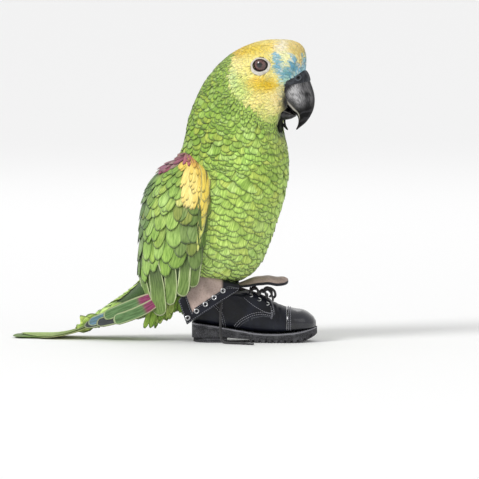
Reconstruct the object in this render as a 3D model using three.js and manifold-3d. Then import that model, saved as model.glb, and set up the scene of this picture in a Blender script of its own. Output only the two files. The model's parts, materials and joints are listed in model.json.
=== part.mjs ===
// A life-size blue-fronted amazon parrot, still, standing with both feet in one unlaced child's boot.
// Millimetres, +Z up. The bird faces +X and is symmetric about Y = 0. The boot is turned towards its left.
// The origin is on the floor, on the boot heel's flat bottom, under the bird's belly.
import * as THREE from "three";
import { mergeVertices } from "three/addons/utils/BufferGeometryUtils.js";
import Module from "manifold-3d";

const wasm = await Module();
wasm.setup();

// ---------------------------------------------------------------- driving dimensions

const GAP = 0.3; // between pieces that meet
const BOOT_TURN = THREE.MathUtils.degToRad(15); // the boot's toe is turned this far to the bird's left
const BOOT_ASIDE = -2.7; // the boot's middle plane is this far to the bird's right, so that both feet fit

// The body from the bill's root back over the head, down the neck and trunk, and out over the tail's root.
// Each station: a point on the back's outline, one on the belly's outline [x, z], half the width, how far
// the widest place lies towards the back (+) or the belly (-) as a share of the half depth, how full the
// belly's side is (1 is an ellipse, less is fuller), and what share of its width it loses at the bill's root.
const BODY = [
  { back: [78.5, 220.5], belly: [57.5, 181.5], halfWidth: 9.4, jowl: 0.7, pinch: 0.1 }, // bill root
  { back: [78, 236.5], belly: [56.6, 179], halfWidth: 12.4, widest: 0.2, jowl: 0.7, pinch: 0.22 }, // forehead
  { back: [73, 245], belly: [56.2, 177], halfWidth: 17.2, widest: 0.25, jowl: 0.65, pinch: 0.32 }, // lore
  { back: [60.5, 248.2], belly: [56.2, 175], halfWidth: 21.2, widest: 0.24, jowl: 0.65, pinch: 0.14 }, // top
  { back: [38, 246.3], belly: [57.4, 172], halfWidth: 24, widest: 0.2, jowl: 0.7 }, // hind crown
  { back: [14.5, 235.4], belly: [59.6, 167], halfWidth: 26, widest: 0.1, jowl: 0.8 }, // nape
  { back: [-5.5, 214.7], belly: [61.8, 159], halfWidth: 27.5, widest: -0.05, jowl: 0.9 }, // upper neck
  { back: [-19, 186], belly: [63.5, 148], halfWidth: 31.5 }, // lower neck
  { back: [-26.5, 156], belly: [62.8, 134], halfWidth: 37 }, // mantle
  { back: [-47, 133], belly: [60, 119], halfWidth: 41 }, // shoulders
  { back: [-55, 108], belly: [54.5, 102], halfWidth: 42 }, // back
  { back: [-57, 85], belly: [47.5, 81], halfWidth: 40 }, // loin
  { back: [-57, 69], belly: [38, 61.5], halfWidth: 34.5 }, // flank
  { back: [-57.5, 59], belly: [22, 50], halfWidth: 25, widest: 0.1 }, // belly
  { back: [-60, 52], belly: [-4, 50.5], halfWidth: 22.5, widest: 0.2 }, // vent
  { back: [-66, 45.5], belly: [-27, 39], halfWidth: 22, widest: 0.1 }, // rump
  { back: [-76, 37.5], belly: [-50, 25], halfWidth: 20.5 }, // tail root
  { back: [-91, 27], belly: [-75, 14], halfWidth: 18.5 }, // tail coverts
  { back: [-107, 14.4], belly: [-105.5, 10.6], halfWidth: 11.5 }, // ends of the tail coverts
];
// Where the body is parted, as a share of the stations' count.
const THROAT_CUT = 6.1;
const NECK_CUT = 8.1;
const RUMP_CUT = 14.6;

// A folded wing hangs on a cloak round the trunk. Each station, from the shoulder down: height, the cloak's
// hindmost x, its half width, and the x of the wing's front edge and of its hind edge.
const WING = [
  { z: 152.5, cloakBack: -30, halfWidth: 31, front: -8, hind: -24 },
  { z: 143, cloakBack: -44, halfWidth: 38, front: 5.5, hind: -40 },
  { z: 130, cloakBack: -53.5, halfWidth: 44, front: 9, hind: -51 },
  { z: 114, cloakBack: -59.5, halfWidth: 47, front: 8.8, hind: -58.6 },
  { z: 96, cloakBack: -61.5, halfWidth: 48, front: 6, hind: -61.4 },
  { z: 78, cloakBack: -62.5, halfWidth: 47, front: 2.6, hind: -62.5 },
  { z: 60, cloakBack: -63, halfWidth: 43.5, front: -1.5, hind: -62.9 },
  { z: 46, cloakBack: -63, halfWidth: 39, front: -6, hind: -61.5 },
  { z: 34, cloakBack: -62, halfWidth: 35, front: -14, hind: -58 },
  { z: 25, cloakBack: -60, halfWidth: 32.5, front: -22, hind: -52.5 },
  { z: 18.8, cloakBack: -57, halfWidth: 31, front: -33, hind: -42 },
];
const WING_THICK = 9; // where it lies on the trunk; the trunk is cut out of it
const WING_THIN = 3.4; // where its quills hang free
const WING_FREE_FROM = 62; // height below which it hangs free
const WING_NOSE = 7; // how far the front edge is rounded off, along the cloak

// The longest quills of the folded wing, which reach back past the tail's root: points of the right wing's
// middle line, and along it the width and the degrees that the blade stands up from flat.
const PRIMARIES = {
  line: [
    [-41, -23.5, 36], [-52, -24, 30.5], [-66, -24.4, 24.6],
    [-80, -24, 19.5], [-96, -22, 15], [-106, -20, 12.6],
  ],
  width: [11, 17, 19, 16, 10, 2.5],
  lean: [82, 80, 76, 70, 60, 50],
  thick: 2,
};

const TAIL = {
  line: [[-62, 33], [-85, 19.5], [-108, 8.6], [-130, 2.6], [-152, 1.5], [-164, 1.5], [-171, 1.5]], // [x, z]
  halfWidth: [15, 18.5, 21.5, 23, 22, 17.5, 5],
  thick: [6, 5, 4, 3.2, 3, 3, 3],
};

const EYE = { at: [45.9, 0, 228.2], radius: 6.7, aside: 18.1 };

const BILL_UPPER = [
  { back: [66, 229], belly: [46, 203], halfWidth: 11.5 }, // inside the head
  { back: [78.4, 222.6], belly: [55.5, 199], halfWidth: 12 }, // root
  { back: [82.4, 212.5], belly: [60.7, 194.8], halfWidth: 10.8 },
  { back: [85.2, 203.4], belly: [65.8, 190.6], halfWidth: 9.2 },
  { back: [85.4, 195.2], belly: [70.3, 187.2], halfWidth: 7.2 },
  { back: [83.2, 188], belly: [72.3, 183.6], halfWidth: 5 },
  { back: [78.5, 181], belly: [72, 179], halfWidth: 3 },
  { back: [71, 174.4], belly: [70.2, 174.9], halfWidth: 0.7 }, // tip
];
const CERE_EDGE = [[66, 211], [81.5, 214.2]]; // the bare skin over the bill's root ends on this line, [x, z]
const BILL_LOWER = [
  { back: [45, 203], belly: [46, 181], halfWidth: 9 }, // inside the head
  { back: [57.5, 197], belly: [57.5, 182], halfWidth: 9 },
  { back: [64.5, 192.6], belly: [65, 183], halfWidth: 7.6 },
  { back: [70, 188.4], belly: [69.8, 185.2], halfWidth: 4 }, // tip
];

// The legs stand in the boot, and are given in the boot's frame. THIGH and shank: middle points and radii.
const LEG_ASIDE = 7;
const THIGH = { line: [[9, 8.6, 60], [7.5, 7.6, 44], [6, 7, 29]], radii: [8, 6.2, 4.2] };
const SHANK = { line: [[6, 7, 31.5], [6.6, 7, 24], [8.6, 7, 18.4]], radii: [3, 3, 3] };
// Two toes point forward and two back, as in all parrots.
const TOES = [
  { heading: 9, length: 15, radius: 2.2 },
  { heading: -10, length: 17, radius: 2.3 },
  { heading: 166, length: 10, radius: 2.1 },
  { heading: -166, length: 12, radius: 2.2 },
];
const CLAW = { length: 4.6, radius: 1.1 };

// The boot, in its own frame: x towards the toe. Each station of the upper: x, half the width, its top and
// bottom, and how square its top is (1 is an ellipse, less is squarer).
const UPPER = [
  { x: -15.8, halfWidth: 7, top: 52, bottom: 16.3, square: 0.14 },
  { x: -13.5, halfWidth: 12, top: 52, bottom: 16, square: 0.12 },
  { x: -6, halfWidth: 15, top: 51, bottom: 15, square: 0.12 },
  { x: 6, halfWidth: 15.8, top: 48.5, bottom: 13.2, square: 0.16 },
  { x: 18, halfWidth: 15.8, top: 45.5, bottom: 11, square: 0.34 },
  { x: 30, halfWidth: 16.6, top: 42, bottom: 8.8, square: 0.8 },
  { x: 42, halfWidth: 18.4, top: 37.5, bottom: 7.6, square: 0.95 },
  { x: 54, halfWidth: 19.6, top: 31, bottom: 7.6, square: 0.95 },
  { x: 65, halfWidth: 19.4, top: 27.4, bottom: 8.4, square: 0.85 },
  { x: 74, halfWidth: 16.8, top: 25.4, bottom: 9.8, square: 0.8 },
  { x: 80.5, halfWidth: 11.6, top: 21, bottom: 11.4, square: 0.9 },
  { x: 83.4, halfWidth: 6, top: 17, bottom: 12.6, square: 1 },
];
const LEATHER = 1.8;
const FLOOR_LEATHER = 1.2;
const MOUTH_END = 23; // the boot is open at the top from its heel to here
const TOE_CAP_X = 61;
const SOLE = [
  { x: -16.6, halfWidth: 8.5, top: 15.9, bottom: 3.9 },
  { x: -14, halfWidth: 13.6, top: 15.6, bottom: 3.9 },
  { x: -6, halfWidth: 16.4, top: 14.6, bottom: 3.9 },
  { x: 6, halfWidth: 17, top: 12.8, bottom: 3.9 },
  { x: 14, halfWidth: 16.6, top: 11.3, bottom: 3.9 },
  { x: 30, halfWidth: 17.6, top: 8.4, bottom: 2.6 },
  { x: 31.4, halfWidth: 17.8, top: 8.2, bottom: 0 },
  { x: 42, halfWidth: 19.8, top: 7.2, bottom: 0 },
  { x: 54, halfWidth: 21.2, top: 7.2, bottom: 0 },
  { x: 65, halfWidth: 21, top: 8, bottom: 0 },
  { x: 72, halfWidth: 19.2, top: 8.9, bottom: 0.7 },
  { x: 78, halfWidth: 15.8, top: 10.2, bottom: 2.4 },
  { x: 83, halfWidth: 10.6, top: 11.6, bottom: 4.8 },
  { x: 86, halfWidth: 4.6, top: 12.6, bottom: 7 },
];
const HEEL = { back: -15.4, front: 12.3, halfWidth: 15.8, height: 3.6 };

// A side of the unlaced shaft, folded out and hanging down. Corners [x, z] in the boot's frame.
const FLAP = {
  foldBack: [-13.7, 56.5],
  foldFront: [22, 48.5],
  throat: [21.5, 43.6],
  corner: [-20.5, 15.8],
  collar: [-27.5, 35],
  wall: 15.9, // half the shaft's width
  stand: 4.4, // how far the sheet hangs off the shaft's wall
  spread: 0.1, // how much further out it hangs for each millimetre down
};
const EYELET = { count: 5, radius: 2.2, hole: 1.1, thick: 0.9, first: [-19.9, 21.2], last: [8.9, 43.2] };

const TONGUE = { back: 14, front: 62.5, halfWidth: 12.5, thick: 1.8 };

const LACE = { radius: 1, sides: 8 };
const LACE_BARS = [{ x: 31.5, z: 43.6 }, { x: 38.3, z: 41.2 }, { x: 45, z: 38.5 }];
// The loose end: out of the throat's near side, down between the wall and the folded side, along the floor.
const LACE_FREE = [
  [29.2, -9.8, 41], [28.8, -12.8, 41.8], [26.4, -16, 42], [22.2, -17.8, 41.6], [17.5, -18.1, 41],
  [12.5, -18.5, 39.8], [9, -18.9, 37.4], [7.4, -19.2, 33], [6.9, -19.7, 26], [6.9, -20.3, 18],
  [6.9, -21, 10.6], [7.2, -22, 5.2], [8.4, -24, 1.9], [10.8, -26.8, 1.02], [14, -29.4, 1.02], [18, -31.4, 1.02],
  [22.4, -33.2, 1.02], [26.4, -35.8, 1.02],
];
// A slack loop of the lace on the instep.
const LACE_LOOP = [
  [41.6, -1.5, 40.2], [43.4, -4.2, 43.2], [47.2, -5.8, 44.2],
  [51, -6.6, 41.6], [51.6, -6.2, 37.6], [49.2, -5.2, 35.6],
];
const LACE_TIP = { length: 9, radius: 0.85 };

// ---------------------------------------------------------------- materials

const paint = (color, roughness, metalness = 0) =>
  new THREE.MeshStandardMaterial({ color, roughness, metalness });
const GREEN = paint(0x6f9a35, 0.75);
const FACE = paint(0xe0c440, 0.75);
const WING_GREEN = paint(0x5f8f33, 0.7);
const QUILL = paint(0x2f3a3c, 0.6);
const TAIL_GREEN = paint(0x7fa83c, 0.7);
const BILL = paint(0x26262a, 0.4);
const CERE = paint(0x3b3a3e, 0.6);
const EYEBALL = paint(0x3a1d17, 0.1);
const SCALE = paint(0x77756f, 0.7);
const LEATHER_BLACK = paint(0x17171a, 0.35);
const LINING = paint(0x9c7f74, 0.8);
const RUBBER = paint(0x2b2b2e, 0.7);
const LACING = paint(0x1b1a1c, 0.85);
const NICKEL = paint(0xc9c9c9, 0.3, 1);

// ---------------------------------------------------------------- making and cutting solids

// A closed geometry as a manifold-3d solid, turned right side out if its faces point inwards.
function solid(geometry) {
  const bare = geometry.clone();
  bare.deleteAttribute("normal");
  bare.deleteAttribute("uv");
  const merged = mergeVertices(bare, 1e-4);
  const vertProperties = merged.attributes.position.array;
  const from = (triVerts) => new wasm.Manifold(new wasm.Mesh({ numProp: 3, vertProperties, triVerts }));
  const corners = new Uint32Array(merged.index.array);
  const made = from(corners);
  return made.volume() > 0 ? made : from(corners.slice().reverse());
}

// The biggest body of a cut solid, without the slivers that a cut can leave.
function biggest(cut) {
  return cut.decompose().sort((a, b) => b.volume() - a.volume())[0];
}

function geometryOf(manifold) {
  const mesh = manifold.getMesh();
  const geometry = new THREE.BufferGeometry();
  const positions = new Float32Array(mesh.numVert * 3);
  for (let i = 0; i < mesh.numVert; i++)
    for (let k = 0; k < 3; k++) positions[3 * i + k] = mesh.vertProperties[mesh.numProp * i + k];
  geometry.setAttribute("position", new THREE.BufferAttribute(positions, 3));
  geometry.setIndex(new THREE.BufferAttribute(new Uint32Array(mesh.triVerts), 1));
  geometry.computeVertexNormals();
  return geometry;
}

const model = new THREE.Group();
const boot = new THREE.Group();
boot.rotation.z = BOOT_TURN;
boot.position.set(0, BOOT_ASIDE, 0);
boot.updateMatrixWorld(true);

function add(name, manifold, material, group = model) {
  const mesh = new THREE.Mesh(geometryOf(biggest(manifold)), material);
  mesh.name = name;
  group.add(mesh);
  return mesh;
}

// A unit cylinder whose every vertex is placed by its share of the length, its angle and share of the radius.
function loft(around, along, place) {
  const geometry = new THREE.CylinderGeometry(1, 1, 1, around, along);
  const p = geometry.attributes.position;
  for (let i = 0; i < p.count; i++) {
    const r = Math.min(1, Math.hypot(p.getX(i), p.getZ(i)));
    const v = place(0.5 - p.getY(i), Math.atan2(p.getX(i), p.getZ(i)), r);
    p.setXYZ(i, v.x, v.y, v.z);
  }
  return solid(geometry);
}

// A unit box whose every vertex is placed by its shares of length, breadth and depth, each from 0 to 1.
function plate(along, across, place, deep = 1) {
  const geometry = new THREE.BoxGeometry(1, 1, 1, along, across, deep);
  const p = geometry.attributes.position;
  for (let i = 0; i < p.count; i++) {
    const v = place(p.getX(i) + 0.5, p.getY(i) + 0.5, p.getZ(i) + 0.5);
    p.setXYZ(i, v.x, v.y, v.z);
  }
  return solid(geometry);
}

// A smooth curve through one number, or one [x, z] pair, of each station, read by the station's index.
function through(stations, pick) {
  const points = stations.map((s) => {
    const value = pick(s);
    return Array.isArray(value) ? new THREE.Vector3(value[0], 0, value[1]) : new THREE.Vector3(value, 0, 0);
  });
  const curve = new THREE.CatmullRomCurve3(points, false, "catmullrom", 0.5);
  const last = stations.length - 1;
  return (at) => curve.getPoint(THREE.MathUtils.clamp(at / last, 0, 1));
}

const signedPower = (value, power) => Math.sign(value) * Math.abs(value) ** power;

// A body between a back outline and a belly outline, with rounded sections. grow makes it that much bigger.
function between(stations, around, along, grow = 0) {
  const back = through(stations, (s) => s.back);
  const belly = through(stations, (s) => s.belly);
  const halfWidth = through(stations, (s) => s.halfWidth);
  const widest = through(stations, (s) => s.widest ?? 0);
  const jowl = through(stations, (s) => s.jowl ?? 1);
  const pinch = through(stations, (s) => s.pinch ?? 0);
  return loft(around, along, (t, angle, r) => {
    const at = t * (stations.length - 1);
    const high = back(at);
    const low = belly(at);
    const half = high.clone().sub(low).multiplyScalar(0.5);
    const deep = half.length();
    const out = Math.cos(angle) + widest(at).x * Math.sin(angle) ** 2;
    const centre = high.add(low).multiplyScalar(0.5);
    const full = Math.cos(angle) < 0 ? jowl(at).x : 1;
    const narrow = 1 - pinch(at).x * Math.exp(-(((out + 0.1) / 0.42) ** 2));
    const side = r * narrow * (halfWidth(at).x + grow) * signedPower(Math.sin(angle), full);
    return centre.addScaledVector(half, (r * out * (deep + grow)) / deep).add(new THREE.Vector3(0, side, 0));
  });
}

// The plane of a body's section, for a cut there: its normal points to the higher stations.
function sectionPlane(stations, at) {
  const back = through(stations, (s) => s.back)(at);
  const belly = through(stations, (s) => s.belly)(at);
  const across = back.clone().sub(belly).normalize();
  const normal = new THREE.Vector3(across.z, 0, -across.x);
  const ahead = through(stations, (s) => s.back)(at + 0.5).sub(back);
  if (normal.dot(ahead) < 0) normal.negate();
  return { normal, offset: normal.dot(back) };
}

// Parts a solid at a plane, leaving the gap open. Returns the piece before the plane and the piece after it.
function parted(whole, plane) {
  const n = plane.normal;
  const before = whole.trimByPlane([-n.x, -n.y, -n.z], -(plane.offset - GAP / 2));
  const after = whole.trimByPlane([n.x, n.y, n.z], plane.offset + GAP / 2);
  return [before, after];
}

const mirrored = (manifold) => manifold.mirror([0, 1, 0]);
const inBoot = (manifold) => manifold.transform(boot.matrixWorld.toArray());
const inBootFrame = (manifold) => manifold.transform(boot.matrixWorld.clone().invert().toArray());

// ---------------------------------------------------------------- bill and eyes

const billUpper = between(BILL_UPPER, 14, 14);
const billLower = between(BILL_LOWER, 12, 5).subtract(between(BILL_UPPER, 14, 14, GAP));
const [cereFrom, cereTo] = CERE_EDGE.map(([x, z]) => new THREE.Vector3(x, 0, z));
const cereUp = new THREE.Vector3(cereFrom.z - cereTo.z, 0, cereTo.x - cereFrom.x).normalize();
const cereAt = cereUp.dot(cereFrom);
const [maxilla, cere] = parted(billUpper, { normal: cereUp, offset: cereAt });

function eye(side, grow = 0) {
  const ball = new THREE.SphereGeometry(EYE.radius + grow, 12, 8);
  ball.rotateX(Math.PI / 2);
  ball.translate(EYE.at[0], side * EYE.aside, EYE.at[2]);
  return solid(ball);
}

// ---------------------------------------------------------------- the body, parted

const body = between(BODY, 20, 40);
const fullBody = between(BODY, 20, 40, GAP);
const wideBody = between(BODY, 20, 40, 0.9); // clears what enters the body at a slant
const headCore = body
  .subtract(between(BILL_UPPER, 14, 14, GAP))
  .subtract(between(BILL_LOWER, 12, 5, GAP))
  .subtract(eye(-1, GAP))
  .subtract(eye(1, GAP));
const [head, belowHead] = parted(headCore, sectionPlane(BODY, THROAT_CUT));
const [neck, belowNeck] = parted(belowHead, sectionPlane(BODY, NECK_CUT));
const [trunk, rump] = parted(belowNeck, sectionPlane(BODY, RUMP_CUT));

// ---------------------------------------------------------------- wings and tail

const wingCurve = {
  z: through(WING, (s) => s.z),
  cloakBack: through(WING, (s) => s.cloakBack),
  halfWidth: through(WING, (s) => s.halfWidth),
  front: through(WING, (s) => s.front),
  hind: through(WING, (s) => s.hind),
};

// A point of the right wing: down from the shoulder, back from the front edge, and in from its outer side.
function wingPoint(down, backward, inward) {
  const at = down * (WING.length - 1);
  const z = wingCurve.z(at).x;
  const deep = -wingCurve.cloakBack(at).x;
  const wide = wingCurve.halfWidth(at).x;
  const front = Math.asin(THREE.MathUtils.clamp(-wingCurve.front(at).x / deep, -1, 1));
  const hind = Math.asin(THREE.MathUtils.clamp(-wingCurve.hind(at).x / deep, -1, 1));
  const angle = THREE.MathUtils.lerp(front, hind, backward);
  const free = 1 - THREE.MathUtils.smoothstep(z, WING_FREE_FROM - 14, WING_FREE_FROM + 14);
  const thick = THREE.MathUtils.lerp(WING_THICK, WING_THIN, free);
  const nose = Math.min(1, ((angle - front) * wide) / WING_NOSE);
  const rounded = (1 - Math.sqrt(1 - (1 - nose) ** 2)) * Math.min(thick * 0.8, 5.5);
  const inset = inward > 0.5 ? thick : rounded;
  return new THREE.Vector3(-(deep - inset) * Math.sin(angle), -(wide - inset) * Math.cos(angle), z);
}

const wing = plate(16, 9, wingPoint)
  .subtract(fullBody)
  .trimByPlane([0, -1, 0], GAP / 2);

const primaryLine = new THREE.CatmullRomCurve3(PRIMARIES.line.map((p) => new THREE.Vector3(...p)));
function primaryPoint(along, across, depth) {
  const at = along * (PRIMARIES.line.length - 1);
  const width = through(PRIMARIES.width, (w) => w)(at).x;
  const lean = THREE.MathUtils.degToRad(through(PRIMARIES.lean, (a) => a)(at).x);
  const ahead = primaryLine.getTangent(along);
  const flat = new THREE.Vector3(0, 0, 1).cross(ahead).normalize();
  const upright = ahead.clone().cross(flat).normalize();
  const blade = flat.clone().multiplyScalar(Math.cos(lean)).addScaledVector(upright, -Math.sin(lean));
  const faceOut = ahead.clone().cross(blade).normalize();
  return primaryLine
    .getPoint(along)
    .addScaledVector(blade, (across - 0.5) * width)
    .addScaledVector(faceOut, (depth - 0.5) * PRIMARIES.thick);
}
const primaries = plate(9, 3, primaryPoint);

const tailLine = through(TAIL.line, (p) => p);
function tailPoint(along, across, depth) {
  const at = along * (TAIL.line.length - 1);
  const middle = tailLine(at);
  const side = 2 * across - 1;
  const thick = through(TAIL.thick, (t) => t)(at).x;
  const halfWidth = through(TAIL.halfWidth, (w) => w)(at).x;
  const arch = 0.9 * (1 - side * side) * (1 - 0.7 * along);
  const edge = Math.max(0.5, Math.sqrt(Math.max(0, 1 - side ** 4)));
  const up = (depth - 0.5) * thick * edge + (depth > 0.5 ? arch : 0);
  const floor = depth < 0.5 ? 0.5 * thick * (edge - 1) : 0;
  const z = along > 0.62 ? middle.z + up + floor : middle.z + up;
  return new THREE.Vector3(middle.x, side * halfWidth, Math.max(0, z));
}
const tailBlade = plate(14, 6, tailPoint);
const tail = tailBlade.subtract(fullBody);

// ---------------------------------------------------------------- legs and feet

function tube(points, radii, sides = 8, steps = 8) {
  const curve = new THREE.CatmullRomCurve3(points.map((p) => new THREE.Vector3(...p)));
  const radiusAt = through(radii, (r) => r);
  const first = curve.getTangent(0);
  const seed = Math.abs(first.z) > 0.9 ? new THREE.Vector3(1, 0, 0) : new THREE.Vector3(0, 0, 1);
  return loft(sides, steps, (t, angle, r) => {
    const ahead = curve.getTangent(t);
    const one = seed.clone().cross(ahead).normalize();
    const two = ahead.clone().cross(one).normalize();
    const radius = r * radiusAt(t * (radii.length - 1)).x;
    return curve
      .getPoint(t)
      .addScaledVector(one, radius * Math.cos(angle))
      .addScaledVector(two, radius * Math.sin(angle));
  });
}

const bySide = (side, points) => points.map(([x, y, z]) => [x, side * y, z]);
const grownBy = (grow, radii) => radii.map((radius) => radius + grow);

// The boot's inner floor slopes down to its toe.
function insole(x) {
  const next = Math.max(1, UPPER.findIndex((s) => s.x > x));
  const [a, b] = [UPPER[next - 1], UPPER[next]];
  return THREE.MathUtils.mapLinear(x, a.x, b.x, a.bottom, b.bottom) + FLOOR_LEATHER;
}

function toePoint(side, toe, distance, radius) {
  const turn = THREE.MathUtils.degToRad(toe.heading) * -side;
  const x = SHANK.line[2][0] + Math.cos(turn) * distance;
  return [x, side * LEG_ASIDE + Math.sin(turn) * distance, insole(x) + radius + 0.8];
}

function toeTube(side, toe, grow = 0) {
  const { length, radius } = toe;
  const points = [0, 0.3, 0.6, 1].map((share) => toePoint(side, toe, share * (length + grow), radius));
  return tube(points, grownBy(grow, [radius + 0.2, radius + 0.1, radius, radius * 0.8]), 6, 3);
}

const toes = (side, grow) => TOES.map((toe) => toeTube(side, toe, grow)).reduce((a, b) => a.add(b));
const thigh = (side, grow = 0) => tube(bySide(side, THIGH.line), grownBy(grow, THIGH.radii), 8, 4);
const foot = (side) => tube(bySide(side, SHANK.line), SHANK.radii, 6, 2).add(toes(side));

function claw(side, toe) {
  const reach = [-0.6, CLAW.length * 0.5, CLAW.length];
  const points = reach.map((more) => toePoint(side, toe, toe.length + more, CLAW.radius));
  points[0][2] += 1.2;
  points[1][2] += 1.2;
  points[2][2] -= 0.5;
  return tube(points, [CLAW.radius, CLAW.radius * 0.8, 0.35], 5, 2);
}

// ---------------------------------------------------------------- the boot

function bootShell(stations, inset, lift) {
  const x = through(stations, (s) => s.x);
  const halfWidth = through(stations, (s) => s.halfWidth);
  const top = through(stations, (s) => s.top);
  const bottom = through(stations, (s) => s.bottom);
  const square = through(stations, (s) => s.square ?? 1);
  return loft(24, 24, (t, angle, r) => {
    const at = t * (stations.length - 1);
    const low = bottom(at).x + (inset > 0 ? FLOOR_LEATHER : 0);
    const high = top(at).x - inset + lift(x(at).x);
    const middle = low + 0.36 * (high - low);
    const c = Math.cos(angle);
    const side = signedPower(Math.sin(angle), 0.75) * (halfWidth(at).x - inset);
    const full = inset > 0 ? 0.3 : 0.45;
    const up = c > 0 ? (high - middle) * c ** square(at).x : (low - middle) * Math.abs(c) ** full;
    const along = x(at).x + (inset && t < 0.5 ? inset : 0) - (inset && t > 0.5 ? inset : 0);
    return new THREE.Vector3(along, r * side, middle + r * up);
  });
}

function slab(stations) {
  const x = through(stations, (s) => s.x);
  const halfWidth = through(stations, (s) => s.halfWidth);
  const last = stations.length - 1;
  const straight = (pick, at) => {
    const low = Math.min(last - 1, Math.floor(at));
    return THREE.MathUtils.lerp(stations[low][pick], stations[low + 1][pick], at - low);
  };
  return plate(last * 3, 6, (along, across, depth) => {
    const at = along * last;
    const z = depth > 0.5 ? straight("top", at) : straight("bottom", at);
    return new THREE.Vector3(x(at).x, (2 * across - 1) * halfWidth(at).x, z);
  });
}

const upperOuter = bootShell(UPPER, 0, () => 0);
const cavity = bootShell(UPPER, LEATHER, (x) => (x < MOUTH_END ? 12 : 0));
const sole = slab(SOLE);
const upper = upperOuter.subtract(cavity);
const [quarters, toeCap] = parted(upper, { normal: new THREE.Vector3(1, 0, 0), offset: TOE_CAP_X });

// The heel's outline seen from above: straight across its front, and rounded behind.
const heelShape = new THREE.Shape();
heelShape.moveTo(HEEL.front, -HEEL.halfWidth);
heelShape.lineTo(HEEL.front, HEEL.halfWidth);
heelShape.lineTo(0, HEEL.halfWidth);
heelShape.absellipse(0, 0, -HEEL.back, HEEL.halfWidth, Math.PI / 2, (3 * Math.PI) / 2, false);
heelShape.closePath();
const heel = solid(
  new THREE.ExtrudeGeometry(heelShape, { depth: HEEL.height, bevelEnabled: false, curveSegments: 16 }),
);

// How far from the boot's middle the middle of a folded side's sheet hangs, below its fold.
function flapOut(x, z) {
  const [back, front] = [FLAP.foldBack, FLAP.foldFront];
  const foldZ = THREE.MathUtils.mapLinear(x, back[0], front[0], back[1], front[1]);
  return FLAP.wall + FLAP.stand + FLAP.spread * (foldZ - 3 - z);
}

// A leather sheet hung from a fold. along runs from heel to throat, and down from the fold to the free edge.
function flapPoint(side, along, down, depth, grow = 0) {
  const lerp = THREE.MathUtils.lerp;
  const wider = lerp(-grow / 40, 1 + grow / 40, along);
  const foldX = lerp(FLAP.foldBack[0], FLAP.foldFront[0], wider);
  const foldZ = lerp(FLAP.foldBack[1], FLAP.foldFront[1], wider);
  // The free edge runs from the collar's end to the corner, and from there up to the throat.
  const turn = 0.3;
  const from = along < turn ? FLAP.collar : FLAP.corner;
  const to = along < turn ? FLAP.corner : FLAP.throat;
  const share = along < turn ? along / turn : (along - turn) / (1 - turn);
  const edge = [lerp(from[0], to[0], share), lerp(from[1], to[1], share)];
  const inner = 0.08; // the share of the sheet that comes up inside the fold
  const roll = 0.24; // the share by which it has gone over the fold
  const thick = (depth - 0.5) * (LEATHER + 2 * grow);
  const radius = (FLAP.stand + LEATHER) / 2 - 0.35;
  if (down < roll) {
    const angle = (Math.max(0, down - inner) / (roll - inner)) * Math.PI;
    const out = FLAP.wall + FLAP.stand - radius - Math.cos(angle) * (radius + thick);
    const below = down < inner ? -2.5 * (1 - down / inner) : 0;
    return new THREE.Vector3(foldX, side * out, foldZ - 3 + below + Math.sin(angle) * (radius + thick));
  }
  const fall = (down - roll) / (1 - roll);
  const x = lerp(foldX, edge[0], fall);
  const z = lerp(foldZ - 3, edge[1], fall);
  return new THREE.Vector3(x, side * (flapOut(x, z) + thick), z);
}
const flap = (side, grow = 0) =>
  plate(10, 12, (along, down, depth) => flapPoint(side, along, down, depth, grow));

function eyelet(side, index) {
  const share = index / (EYELET.count - 1);
  const x = THREE.MathUtils.lerp(EYELET.first[0], EYELET.last[0], share);
  const z = THREE.MathUtils.lerp(EYELET.first[1], EYELET.last[1], share);
  const half = EYELET.thick / 2;
  const rim = [[EYELET.hole, -half], [EYELET.radius, -half], [EYELET.radius, half], [EYELET.hole, half]];
  const profile = [...rim, rim[0]].map((p) => new THREE.Vector2(...p));
  const ring = new THREE.LatheGeometry(profile, 12);
  ring.rotateX(side * Math.atan(FLAP.spread));
  ring.translate(x, side * (flapOut(x, z) + LEATHER / 2 + GAP + half), z);
  return solid(ring);
}

function tonguePoint(along, across, depth) {
  const x = THREE.MathUtils.lerp(TONGUE.back, TONGUE.front, along);
  const side = 2 * across - 1;
  const narrow = Math.sqrt(Math.max(0.05, 1 - Math.max(0, (along - 0.82) / 0.18) ** 2));
  const { smoothstep } = THREE.MathUtils;
  const rise = 46.4 + 6.2 * smoothstep(x, 18, 44) - 1.2 * smoothstep(x, 46, 62);
  const droop = 4.6 * smoothstep(x, 16, 40) * side * side;
  return new THREE.Vector3(x, side * TONGUE.halfWidth * narrow, rise - droop + (depth - 0.5) * TONGUE.thick);
}
const tongue = plate(18, 10, tonguePoint);

const laceLoop = tube(LACE_LOOP, [LACE.radius, LACE.radius], LACE.sides, 18);

function laceBar(bar) {
  const reach = 9.5;
  const points = [-1, -0.5, 0, 0.5, 1].map((share) => [bar.x, share * reach, bar.z - 2.6 * share * share]);
  return tube(points, [LACE.radius, LACE.radius], LACE.sides, 8);
}

const freeLine = new THREE.CatmullRomCurve3(LACE_FREE.map((p) => new THREE.Vector3(...p)));
const laceSection = new THREE.Shape(
  Array.from({ length: LACE.sides }, (_, i) => {
    const angle = ((i + 0.5) * 2 * Math.PI) / LACE.sides;
    return new THREE.Vector2(LACE.radius * Math.cos(angle), LACE.radius * Math.sin(angle));
  }),
);
const laceFree = solid(
  new THREE.ExtrudeGeometry(laceSection, { steps: 24, extrudePath: freeLine, bevelEnabled: false }),
);

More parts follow.
